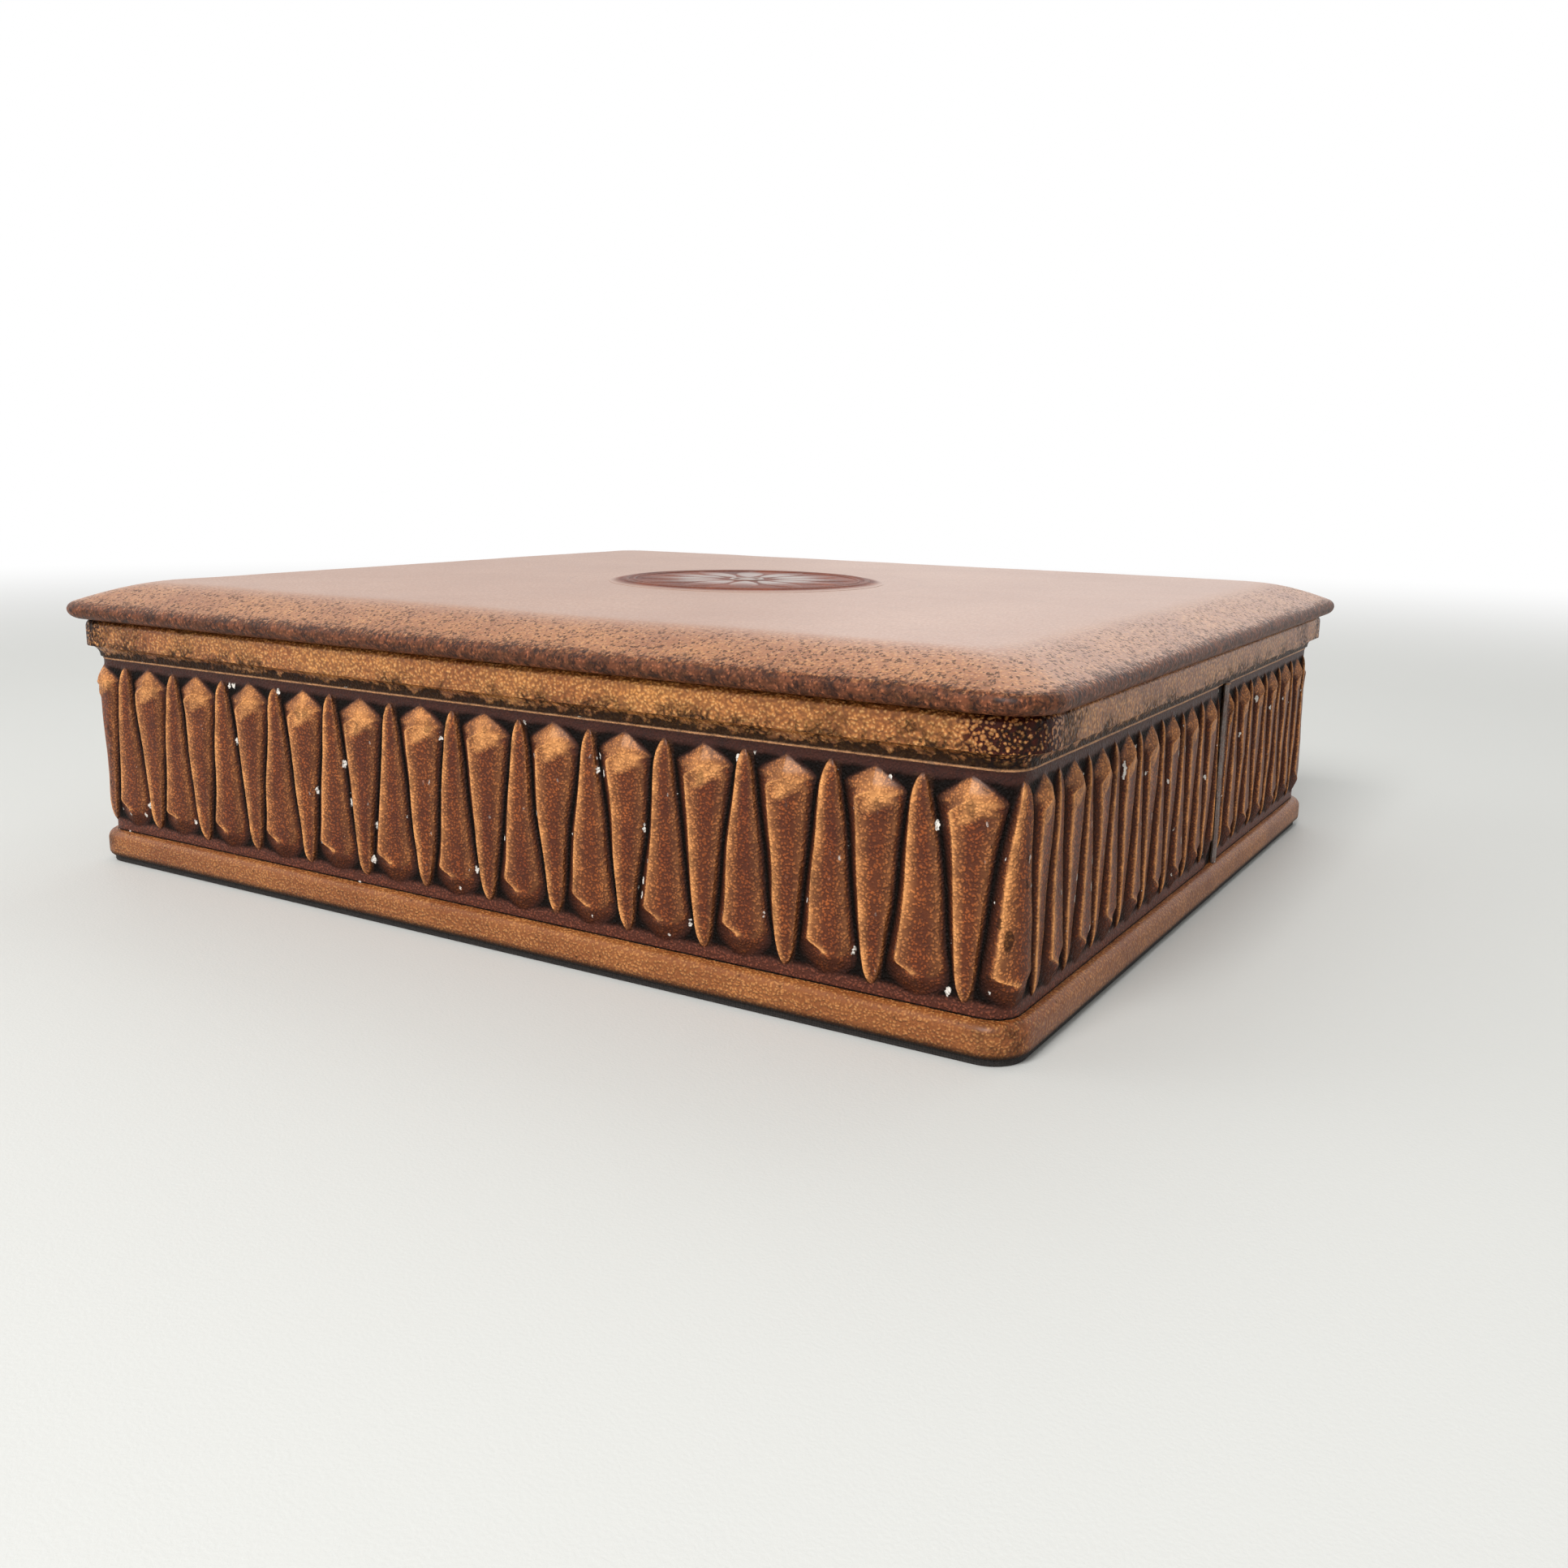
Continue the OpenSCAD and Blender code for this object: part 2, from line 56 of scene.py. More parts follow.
def choose(*pieces):
    # selects the pieces; the first one is the active one
    clearSelection()
    for piece in pieces:
        piece.select_set(True)
    bpy.context.view_layer.objects.active = pieces[0]


def addObject(name, data):
    piece = bpy.data.objects.new(name, data)
    bpy.context.scene.collection.objects.link(piece)
    return piece


def takeNew(name):
    # the piece that was just added, with its place and size in its mesh
    piece = bpy.context.active_object
    piece.name = name
    bpy.ops.object.transform_apply(location=True, rotation=True, scale=True)
    return piece


def joinPieces(pieces):
    choose(*pieces)
    bpy.ops.object.join()


def startEdit(piece, everything=False):
    choose(piece)
    bpy.ops.object.mode_set(mode="EDIT")
    if everything:
        bpy.ops.mesh.select_all(action="SELECT")


def endEdit():
    bpy.ops.object.mode_set(mode="OBJECT")


def pickParts(piece, kind, wanted):
    bpy.ops.mesh.select_mode(type=kind)
    bpy.ops.mesh.select_all(action="DESELECT")
    shape = bmesh.from_edit_mesh(piece.data)
    for part in shape.edges if kind == "EDGE" else shape.faces:
        if wanted(part):
            part.select_set(True)
    bmesh.update_edit_mesh(piece.data)


def pickEdges(piece, wanted):
    # wanted is asked about an edge's two ends
    pickParts(piece, "EDGE", lambda edge: wanted(edge.verts[0].co, edge.verts[1].co))


def pickFaces(piece, wanted):
    # wanted is asked about a face's middle and normal
    pickParts(piece, "FACE", lambda face: wanted(face.calc_center_median(), face.normal))


def isUpright(a, b):
    return abs(a.x - b.x) < 1e-5 and abs(a.y - b.y) < 1e-5 and abs(a.z - b.z) > 1e-5


def addModifier(piece, kind, **settings):
    choose(piece)
    modifier = piece.modifiers.new(kind.lower(), kind)
    for key, value in settings.items():
        setattr(modifier, key, value)
    bpy.ops.object.modifier_apply(modifier=modifier.name)


def shadeSmooth(piece, angle=40):
    choose(piece)
    bpy.ops.object.shade_smooth_by_angle(angle=math.radians(angle))


def cutLongRuns(piece, step):
    # the long straight runs get cross cuts, so that they can carry slight waves
    for axis in (0, 1):
        startEdit(piece)
        pickEdges(piece, lambda a, b: abs(a[axis] - b[axis]) > 0.1)
        length = max(piece.dimensions[axis], 0.1)
        bpy.ops.mesh.subdivide(number_cuts=int(length / step))
        endEdit()


def storeValues(piece, name, values):
    attribute = piece.data.attributes.new(name, "FLOAT", "POINT")
    attribute.data.foreach_set("value", values)


def smoothStep(low, high, x):
    t = min(1, max(0, (x - low) / (high - low)))
    return t * t * (3 - 2 * t)


def finishPiece(piece, body, material, replaced):
    piece.data.materials.clear()
    piece.data.materials.append(material)
    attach(piece, body)
    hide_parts(replaced)


# camera, floor and light

view = {
    "place": (0.2818, -0.4397, 0.134),
    "turn": 31.08,
    "dip": 12.27,
    "roll": 0.82,
    "lens": 33.28,
    "sensor": 36,
}


def makeCamera():
    turn, dip, roll = (math.radians(view[name]) for name in ("turn", "dip", "roll"))
    ahead = Vector((-math.sin(turn) * math.cos(dip), math.cos(turn) * math.cos(dip), -math.sin(dip)))
    level = Vector((math.cos(turn), math.sin(turn), 0))
    upright = level.cross(ahead)
    right = level * math.cos(roll) + upright * math.sin(roll)
    up = upright * math.cos(roll) - level * math.sin(roll)
    data = bpy.data.cameras.new("photoCamera")
    data.lens = view["lens"]
    data.sensor_width = view["sensor"]
    data.clip_start = 0.01
    camera = addObject("photoCamera", data)
    turnMatrix = Matrix((right, up, -ahead)).transposed().to_4x4()
    camera.matrix_world = Matrix.Translation(view["place"]) @ turnMatrix
    bpy.context.scene.camera = camera


studio = {
    "floorSize": 9,
    "floorDrop": 0.2 * mm,
    "floorGap": (0.331, 0.292),
    "gapRadius": 11 * mm,
    "floorColour": "#dcdcd8",
    "fadeStart": 0.55,
    "fadeEnd": 1.7,
    "worldColour": "#f2f3f2",
    "worldLevel": 0.47,
    "lamps": [
        {"name": "keyLamp", "place": (0.2, -1.3, 1.2), "size": 0.7, "power": 23.5},
        {"name": "fillLamp", "place": (-1.3, -0.6, 0.9), "size": 1.1, "power": 3.5},
        {"name": "backLamp", "place": (-0.1, 1.4, 1.2), "size": 1.8, "power": 6},
    ],
}


def makeLamps():
    for lamp in studio["lamps"]:
        data = bpy.data.lights.new(lamp["name"], "AREA")
        data.size = lamp["size"]
        data.energy = lamp["power"]
        piece = addObject(lamp["name"], data)
        toBox = Vector((0, 0, 0.05)) - Vector(lamp["place"])
        piece.location = lamp["place"]
        piece.rotation_euler = toBox.to_track_quat("-Z", "Y").to_euler()


# colours and node building

def colour(code):
    parts = [int(code[i:i + 2], 16) / 255 for i in (1, 3, 5)]
    linear = [c / 12.92 if c <= 0.04045 else ((c + 0.055) / 1.055) ** 2.4 for c in parts]
    return (*linear, 1)


def put(tree, kind, values=None, **settings):
    node = tree.nodes.new(kind)
    for key, value in settings.items():
        setattr(node, key, value)
    for key, value in (values or {}).items():
        if isinstance(value, bpy.types.NodeSocket):
            tree.links.new(value, node.inputs[key])
        else:
            node.inputs[key].default_value = value
    return node


def calc(tree, operation, a, b=0, clamp=False):
    return put(tree, "ShaderNodeMath", {0: a, 1: b}, operation=operation, use_clamp=clamp).outputs[0]


def times(tree, a, b, clamp=False):
    return calc(tree, "MULTIPLY", a, b, clamp)


def plus(tree, a, b, clamp=False):
    return calc(tree, "ADD", a, b, clamp)


def minus(tree, a, b, clamp=False):
    return calc(tree, "SUBTRACT", a, b, clamp)


def larger(tree, a, b):
    return calc(tree, "MAXIMUM", a, b)


def mixColours(tree, amount, a, b):
    node = tree.nodes.new("ShaderNodeMix")
    node.data_type = "RGBA"
    for socket, value in ((0, amount), (6, a), (7, b)):
        if isinstance(value, str):
            value = colour(value)
        if isinstance(value, bpy.types.NodeSocket):
            tree.links.new(value, node.inputs[socket])
        else:
            node.inputs[socket].default_value = value
    return node.outputs[2]


def spread(tree, value, low, high, outLow=0.0, outHigh=1.0):
    node = put(tree, "ShaderNodeMapRange", {0: value, 1: low, 2: high, 3: outLow, 4: outHigh})
    node.interpolation_type = "SMOOTHSTEP"
    return node.outputs[0]


def attributeValues(tree, *names):
    return [put(tree, "ShaderNodeAttribute", attribute_name=name).outputs["Fac"] for name in names]


def vectorCalc(tree, operation, a, b=(0, 0, 0)):
    node = put(tree, "ShaderNodeVectorMath", {0: a, 1: b}, operation=operation)
    return node.outputs["Value" if operation == "LENGTH" else "Vector"]


def addNoise(tree, place, scale, detail, **more):
    node = put(tree, "ShaderNodeTexNoise", {"Vector": place, "Scale": scale, "Detail": detail, **more})
    return node.outputs


def makeGroup(name, inputs, outputs):
    tree = bpy.data.node_groups.new(name, "ShaderNodeTree")
    for kind, labels in (("INPUT", inputs), ("OUTPUT", outputs)):
        for label in labels:
            tree.interface.new_socket(label, in_out=kind, socket_type="NodeSocketFloat")
    source = tree.nodes.new("NodeGroupInput")
    result = tree.nodes.new("NodeGroupOutput")
    return tree, source.outputs, result.inputs


def objectPlace(tree):
    return tree.nodes.new("ShaderNodeTexCoord").outputs["Object"]


def warpedPlace(tree, reach, scale):
    # a place pushed about by noise, so that cells don't look ruled
    place = objectPlace(tree)
    wobble = addNoise(tree, place, scale, 2.0)["Color"]
    centred = vectorCalc(tree, "SUBTRACT", wobble, (0.5, 0.5, 0.5))
    return vectorCalc(tree, "ADD", place, vectorCalc(tree, "MULTIPLY", centred, (reach, reach, reach)))


def makeGrainGroup():
    # pebbled leather grain: rounded cells with fine valleys between them
    tree, source, result = makeGroup("leatherGrain", ["Scale", "Fine"], ["Height", "Valley"])
    place = warpedPlace(tree, 0.0012, 420)
    cells = put(tree, "ShaderNodeTexVoronoi", {"Vector": place, "Scale": source["Scale"]},
                feature="SMOOTH_F1")
    cells.inputs["Smoothness"].default_value = 0.35
    dome = spread(tree, cells.outputs["Distance"], 0.05, 0.75, 1, 0)
    fine = times(tree, addNoise(tree, place, 2600, 3.0)[0], source["Fine"])
    tree.links.new(plus(tree, dome, fine), result["Height"])
    tree.links.new(minus(tree, 1.0, dome), result["Valley"])
    return tree


def makeCracksGroup():
    # old finish broken into flakes: thin broken lines, here and there
    tree, source, result = makeGroup("finishCracks", ["Scale", "Width", "Amount"], ["Mask"])
    place = warpedPlace(tree, 0.0022, 300)
    lines = put(tree, "ShaderNodeTexVoronoi", {"Vector": place, "Scale": source["Scale"]},
                feature="DISTANCE_TO_EDGE")
    thin = calc(tree, "DIVIDE", lines.outputs["Distance"], source["Width"])
    line = minus(tree, 1.0, thin, clamp=True)
    where = minus(tree, addNoise(tree, place, 190, 4.0)[0], minus(tree, 1.0, source["Amount"]))
    here = times(tree, where, 9.0, clamp=True)
    tree.links.new(times(tree, line, here), result["Mask"])
    return tree


def makeDotsGroup(name, reach, scale, sharpness, ragged):
    # scattered dots; ragged ones are of many sizes and longer than wide
    tree, source, result = makeGroup(name, ["Scale", "Size", "Amount"], ["Mask"])
    stretch = (1, 1, 0.5 if ragged else 1)
    place = vectorCalc(tree, "MULTIPLY", warpedPlace(tree, reach, scale), stretch)
    dots = put(tree, "ShaderNodeTexVoronoi", {"Vector": place, "Scale": source["Scale"]}).outputs
    pick = put(tree, "ShaderNodeSeparateColor", {0: dots["Color"]}).outputs
    size = source["Size"]
    if ragged:
        size = times(tree, size, plus(tree, pick[1], 0.25))
    inside = times(tree, minus(tree, size, dots["Distance"]), sharpness, clamp=True)
    chosen = calc(tree, "LESS_THAN", pick[0], source["Amount"])
    tree.links.new(times(tree, inside, chosen), result["Mask"])
    return tree


def makePatinaGroup():
    # slow uneven colour of worn, waxed leather
    tree, source, result = makeGroup("patina", ["Scale", "Contrast"], ["Value", "Fine"])
    place = objectPlace(tree)
    broad = addNoise(tree, place, source["Scale"], 5.0, Roughness=0.62)
    centred = minus(tree, broad[0], 0.5)
    value = plus(tree, times(tree, centred, source["Contrast"]), 0.5, clamp=True)
    tree.links.new(value, result["Value"])
    tree.links.new(spread(tree, addNoise(tree, place, 1300, 4.0)[0], 0.3, 0.7), result["Fine"])
    return tree


print("node groups")
grainGroup = makeGrainGroup()
cracksGroup = makeCracksGroup()
specksGroup = makeDotsGroup("specks", 0.0008, 600, 9, False)
chipsGroup = makeDotsGroup("chips", 0.0016, 900, 14, True)
patinaGroup = makePatinaGroup()


def useGroup(tree, group, **values):
    node = tree.nodes.new("ShaderNodeGroup")
    node.node_tree = group
    for key, value in values.items():
        node.inputs[key].default_value = value
    return node.outputs


def addPatina(tree, scale, contrast):
    return useGroup(tree, patinaGroup, Scale=scale, Contrast=contrast)


def startMaterial(name):
    material = bpy.data.materials.new(name)
    material.use_nodes = True
    tree = material.node_tree
    tree.nodes.clear()
    shader = tree.nodes.new("ShaderNodeBsdfPrincipled")
    output = tree.nodes.new("ShaderNodeOutputMaterial")
    tree.links.new(shader.outputs[0], output.inputs[0])
    return material, tree, shader


def linkSurface(tree, shader, base, rough, height, depth, wax=None):
    tree.links.new(base, shader.inputs["Base Color"])
    tree.links.new(rough, shader.inputs["Roughness"])
    bump = put(tree, "ShaderNodeBump", {"Height": height, "Strength": 1.0, "Distance": depth})
    tree.links.new(bump.outputs[0], shader.inputs["Normal"])
    if wax:
        # most of the shine is a coat of wax, worn out of the hollows
        shader.inputs["Specular IOR Level"].default_value = 0.1
        shader.inputs["Coat Roughness"].default_value = 0.36
        tree.links.new(wax, shader.inputs["Coat Weight"])


def partOf(tree, axis):
    split = put(tree, "ShaderNodeSeparateXYZ", {0: objectPlace(tree)})
    return split.outputs[axis]


def distanceFromMiddle(tree):
    # how far a point is from the upright line through the middle of the box
    return vectorCalc(tree, "LENGTH", vectorCalc(tree, "MULTIPLY", objectPlace(tree), (1, 1, 0)))


def cornerCloseness(tree, reach):
    # 1 at the four upright corners of the box, 0 further along the sides
    across = calc(tree, "ABSOLUTE", partOf(tree, 0))
    along = calc(tree, "ABSOLUTE", partOf(tree, 1))
    farX = minus(tree, boxHalf.x, across)
    farY = minus(tree, boxHalf.y, along)
    total = plus(tree, farX, farY)
    return spread(tree, total, 0.0, reach, 1, 0)


baseLow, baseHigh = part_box("base_leather")
rimLow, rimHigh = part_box("rim_leather")
lidLow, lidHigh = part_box("lid_leather")
boxHalf = rimHigh


# sizes of the rim moulding, which its finish needs too

rimShape = {
    "height": 12.3 * mm,
    "cornerRadius": 12.2 * mm,
    "cove": 3.8 * mm,
    "coveSteps": 6,
    "topRadius": 2.4 * mm,
    "backMargin": 2.2 * mm,
    "wallTop": 9.2 * mm,
    "innerRadius": 1 * mm,
    "skirt": 8 * mm,
    "leather": 1 * mm,
    "wave": 0.12 * mm,
}

# leather finishes

bandLook = {
    "rimDeep": "#9c5120",
    "rimTan": "#e39a50",
    "baseDeep": "#86461c",
    "baseTan": "#c98245",
    "pale": "#f6bd7a",
    "valley": "#6b3412",
    "worn": "#40170d",
    "blackBrown": "#120703",
    "rimScale": 1000,
    "baseScale": 1150,
    "grainDepth": 0.5 * mm,
    "cornerReach": 22 * mm,  # wear at the upright corners
    "crackReach": 130 * mm,  # scattered cracks beside them
    "brokenFull": 4 * mm,  # broken finish on the rim, measured up from its foot
    "brokenTop": 9.5 * mm,
    "hollowFull": 1.2 * mm,  # black in the hollow under the rim
    "hollowTop": 2.6 * mm,
    "raggedness": 2.4 * mm,
    "footShadeFull": 0.6 * mm,  # dark foot of the base: painted shade where it meets the floor
    "footShadeTop": 3 * mm,
}


def bandColour(tree, patina, grain, deep, tan, pebble, valley):
    # tan leather with paler pebbles and darker valleys between them
    look = bandLook
    base = mixColours(tree, patina["Value"], deep, tan)
    base = mixColours(tree, spread(tree, grain["Valley"], 0.05, 0.5, pebble, 0), base, look["pale"])
    return mixColours(tree, spread(tree, grain["Valley"], 0.4, 0.95, 0, valley), base, look["valley"])


def makeRimLeather():
    material, tree, shader = startMaterial("rimLeather")
    look = bandLook
    patina = addPatina(tree, 45, 2.0)
    blotch = addPatina(tree, 240, 4.5)
    grain = useGroup(tree, grainGroup, Scale=look["rimScale"], Fine=0.3)
    cracks = useGroup(tree, cracksGroup, Scale=430, Width=0.38, Amount=0.66)
    specks = useGroup(tree, specksGroup, Scale=560, Size=0.36, Amount=0.4)
    clusters = addPatina(tree, 75, 6.0)
    base = bandColour(tree, patina, grain, look["rimDeep"], look["rimTan"], 0.5, 0.5)
    # dark broken finish in clusters along the lower part of the band and beside the corners
    height = partOf(tree, 2)
    foot = rimHigh.z - rimShape["height"]
    low = spread(tree, height, foot + look["brokenFull"], foot + look["brokenTop"], 1.0, 0.1)
    low = times(tree, low, spread(tree, clusters["Value"], 0, 1, 0.25, 1.0))
    corner = cornerCloseness(tree, look["cornerReach"])
    beside = times(tree, cornerCloseness(tree, look["crackReach"]), clusters["Value"])
    where = larger(tree, larger(tree, low, corner), beside)
    dark = times(tree, larger(tree, cracks["Mask"], specks["Mask"]), where, clamp=True)
    # the hollow under the band is black, with a ragged edge
    ragged = times(tree, minus(tree, blotch["Value"], 0.5), look["raggedness"])
    uneven = plus(tree, height, ragged)
    hollow = spread(tree, uneven, foot + look["hollowFull"], foot + look["hollowTop"], 0.97, 0)
    # at the corners the tan is left only on top of the grain
    between = plus(tree, grain["Valley"], times(tree, corner, 0.6))
    between = spread(tree, between, 0.92, 1.15)
    base = mixColours(tree, between, base, look["worn"])
    dark = larger(tree, dark, hollow)
    base = mixColours(tree, times(tree, dark, 0.96), base, look["blackBrown"])
    dark = larger(tree, dark, between)
    rough = spread(tree, patina["Fine"], 0, 1, 0.36, 0.52)
    relief = minus(tree, grain["Height"], times(tree, dark, 0.7))
    wax = spread(tree, dark, 0, 1, 0.6, 0.05)
    linkSurface(tree, shader, base, rough, relief, look["grainDepth"], wax)
    return material


def makeBaseLeather():
    material, tree, shader = startMaterial("baseLeather")
    look = bandLook
    patina = addPatina(tree, 38, 2.0)
    grain = useGroup(tree, grainGroup, Scale=look["baseScale"], Fine=0.25)
    specks = useGroup(tree, specksGroup, Scale=500, Size=0.26, Amount=0.16)
    scuffs = addPatina(tree, 260, 6.0)
    base = bandColour(tree, patina, grain, look["baseDeep"], look["baseTan"], 0.22, 0.6)
    corner = cornerCloseness(tree, look["cornerReach"])
    scuff = times(tree, corner, scuffs["Value"], clamp=True)
    # painted shade on the foot of the base, where it meets the floor
    foot = spread(tree, partOf(tree, 2), baseLow.z + look["footShadeFull"], baseLow.z + look["footShadeTop"], 0.92, 0)
    dark = larger(tree, scuff, foot)
    dark = larger(tree, times(tree, specks["Mask"], 0.5), dark)
    base = mixColours(tree, dark, base, look["blackBrown"])
    rough = spread(tree, patina["Fine"], 0, 1, 0.5, 0.7)
    wax = spread(tree, dark, 0, 1, 0.5, 0.05)
    linkSurface(tree, shader, base, rough, grain["Height"], look["grainDepth"], wax)
    return material


dartValues = ("lift", "rubAndHighlight", "crease", "shade", "turned")
friezeLook = {
    "groove": "#0a0402",
    "shade": "#35180e",
    "ground": "#44201c",
    "groundPale": "#7a3f2c",
    "groundLit": "#9a5338",
    "facetDeep": "#381308",
    "facet": "#8c401b",
    "facetPale": "#bd662e",
    "crest": "#fcb06a",
    "turned": "#8d8580",
    "dust": "#efe8df",
    "grainDepth": 0.3 * mm,
    "cornerReach": 30 * mm,
    "litLowGround": (12 * mm, 18 * mm),  # ground painted paler under the darts, as painted light
    "shadedHighGround": (63.5 * mm, 67 * mm),  # ground painted darker over them, as painted shade under the rim
}


def makeFriezeLeather():
    material, tree, shader = startMaterial("friezeLeather")
    look = friezeLook
    patina = addPatina(tree, 48, 3.0)
    blotch = addPatina(tree, 260, 3.2)
    grain = useGroup(tree, grainGroup, Scale=1250, Fine=0.5)
    chips = useGroup(tree, chipsGroup, Scale=480, Size=0.3, Amount=0.13)
    flakes = useGroup(tree, chipsGroup, Scale=420, Size=0.5, Amount=0.3)
    pores = useGroup(tree, specksGroup, Scale=1000, Size=0.34, Amount=0.45)
    lift, rubAndHighlight, crease, shade, turned = attributeValues(tree, *dartValues)
    corner = cornerCloseness(tree, look["cornerReach"])
    base = mixColours(tree, patina["Value"], look["facet"], look["facetPale"])
    base = mixColours(tree, times(tree, corner, 0.7), base, look["facetPale"])
    ground = mixColours(tree, blotch["Value"], look["ground"], look["groundPale"])
    height = partOf(tree, 2)
    # painted light on the low ground, and painted shade on the high ground under the rim
    ground = mixColours(tree, spread(tree, height, *look["litLowGround"], 0.55, 0), ground, look["groundLit"])
    ground = mixColours(tree, spread(tree, height, *look["shadedHighGround"], 0, 0.55), ground, look["groove"])
    raised = spread(tree, lift, 0.01, 0.25)
    base = mixColours(tree, raised, ground, base)
    base = mixColours(tree, times(tree, blotch["Value"], 0.45), base, look["facetDeep"])
    # crest colour: rubbed wear on the ridges, and painted highlight on facets that face up and to the right
    uneven = spread(tree, blotch["Value"], 0.0, 1.0, 1.0, 0.6)
    worn = times(tree, rubAndHighlight, uneven, clamp=True)
    base = mixColours(tree, worn, base, look["crest"])
    # fine stipple of the grain, weakest where the crest colour lies: rubbed wear with painted highlight
    stipple = larger(tree, spread(tree, grain["Valley"], 0.3, 0.85), pores["Mask"])
    stipple = times(tree, stipple, spread(tree, worn, 0, 1, 0.75, 0.22))
    base = mixColours(tree, stipple, base, look["facetDeep"])
    base = mixColours(tree, times(tree, shade, 0.9), base, look["shade"])
    # the finish flakes off the raised parts near the corners and off the ridges in the crest colour
    loose = larger(tree, times(tree, corner, raised), times(tree, worn, 0.5))
    flaked = times(tree, flakes["Mask"], loose)
    black = larger(tree, crease, flaked)
    base = mixColours(tree, black, base, look["groove"])
    # painted grey sheen on the turned edge beyond the seam and on the fold
    greyed = times(tree, turned, spread(tree, blotch["Value"], 0, 1, 0.9, 0.5))
    base = mixColours(tree, greyed, base, look["turned"])
    # white dust lies in the grooves
    low = larger(tree, crease, shade)
    pale = times(tree, chips["Mask"], spread(tree, low, 0.1, 0.6, 0.0, 1.0))
    base = mixColours(tree, pale, base, look["dust"])
    rough = spread(tree, blotch["Fine"], 0, 1, 0.5, 0.7)
    dull = larger(tree, black, times(tree, shade, 0.8))
    wax = spread(tree, dull, 0, 1, 0.36, 0.02)
    relief = minus(tree, grain["Height"], times(tree, stipple, 0.4))
    linkSurface(tree, shader, base, rough, relief, look["grainDepth"], wax)
    return material


lidLook = {
    "field": "#b88f76",
    "fieldDeep": "#a0735a",
    "slope": "#b97b45",
    "slopeDeep": "#935629",
    "slopePale": "#cf955c",
    "edge": "#250b09",
    "edgePale": "#9a593d",
    "blackBrown": "#1e0b09",
    "grainDepth": 0.16 * mm,
    "ringRadius": 62.5 * mm,
    "ringHalf": 1.4 * mm,
}


def makeLidLeather():
    material, tree, shader = startMaterial("lidLeather")
    look = lidLook
    patina = addPatina(tree, 16, 2.0)
    blotch = addPatina(tree, 900, 3.6)
    broad = addPatina(tree, 60, 2.4)
    grain = useGroup(tree, grainGroup, Scale=1000, Fine=0.4)
    cracks = useGroup(tree, cracksGroup, Scale=520, Width=0.2, Amount=0.5)
    pores = useGroup(tree, chipsGroup, Scale=1150, Size=0.55, Amount=0.55)
    mottle = addPatina(tree, 430, 4.5)
    slope, edge = attributeValues(tree, "slope", "edge")
    field = mixColours(tree, patina["Value"], look["fieldDeep"], look["field"])
    side = mixColours(tree, broad["Value"], look["slopeDeep"], look["slope"])
    side = mixColours(tree, spread(tree, grain["Valley"], 0.05, 0.5, 0.6, 0), side, look["slopePale"])
    base = mixColours(tree, slope, field, side)
    base = mixColours(tree, spread(tree, grain["Valley"], 0.4, 0.95, 0, 0.5), base, look["slopeDeep"])
    # pores everywhere on the slope, broken finish only near the edge
    near = spread(tree, larger(tree, slope, edge), 0.15, 1.0, 0.03, 0.72)
    broken = times(tree, pores["Mask"], near)
    cracked = times(tree, cracks["Mask"], spread(tree, edge, 0.0, 0.5, 0.1, 0.9))
    broken = larger(tree, broken, cracked)
    # the finish has gone dark and blotchy round the edge
    uneven = plus(tree, times(tree, blotch["Value"], 0.5), times(tree, broad["Value"], 0.25))
    rim = spread(tree, plus(tree, edge, uneven), 0.7, 1.15)
    patch = times(tree, mottle["Value"], spread(tree, grain["Valley"], 0.1, 0.6, 1.0, 0.4))
    edgeColour = mixColours(tree, patch, look["edge"], look["edgePale"])
    base = mixColours(tree, times(tree, rim, 0.88), base, edgeColour)
    base = mixColours(tree, broken, base, look["blackBrown"])
    # faint tooled ring round the medallion
    offRing = calc(tree, "ABSOLUTE", minus(tree, distanceFromMiddle(tree), look["ringRadius"]))
    ring = spread(tree, offRing, 0.0, look["ringHalf"], 1, 0)
    base = mixColours(tree, times(tree, ring, 0.35), base, look["fieldDeep"])
    rough = spread(tree, patina["Fine"], 0, 1, 0.45, 0.6)
    dents = plus(tree, times(tree, broken, 0.8), times(tree, ring, 1.6))
    height = minus(tree, grain["Height"], dents)
    dull = larger(tree, broken, spread(tree, rim, 0, 1, 0, 0.85))
    wax = spread(tree, dull, 0, 1, 0.85, 0.18)
    linkSurface(tree, shader, base, rough, height, look["grainDepth"], wax)
    return material


medallionLook = {
    "deep": "#542417",
    "tan": "#8e4a30",
    "rubbed": "#a8978d",
    "valley": "#4a1a10",
    "border": "#a97c63",
    "grainDepth": 0.08 * mm,
    "rubbedFull": 16 * mm,  # the relief is rubbed pale in the middle only
    "rubbedEnd": 34 * mm,
}


def makeMedallionLeather():
    material, tree, shader = startMaterial("medallionLeather")
    look = medallionLook
    patina = addPatina(tree, 70, 2.6)
    grain = useGroup(tree, grainGroup, Scale=1300, Fine=0.4)
    relief, border = attributeValues(tree, "relief", "border")
    base = mixColours(tree, patina["Value"], look["deep"], look["tan"])
    middle = spread(tree, distanceFromMiddle(tree), look["rubbedFull"], look["rubbedEnd"], 1.0, 0.14)
    rubbed = times(tree, relief, spread(tree, patina["Value"], 0.1, 0.8, 1.0, 0.55))
    base = mixColours(tree, times(tree, rubbed, middle), base, look["rubbed"])
    base = mixColours(tree, times(tree, grain["Valley"], 0.3), base, look["valley"])
    base = mixColours(tree, border, base, look["border"])
    rough = spread(tree, patina["Fine"], 0, 1, 0.5, 0.65)
    wax = spread(tree, larger(tree, times(tree, relief, middle), border), 0, 1, 0.2, 0.9)
    linkSurface(tree, shader, base, rough, grain["Height"], look["grainDepth"], wax)
    return material


# plain materials of the carried over pieces

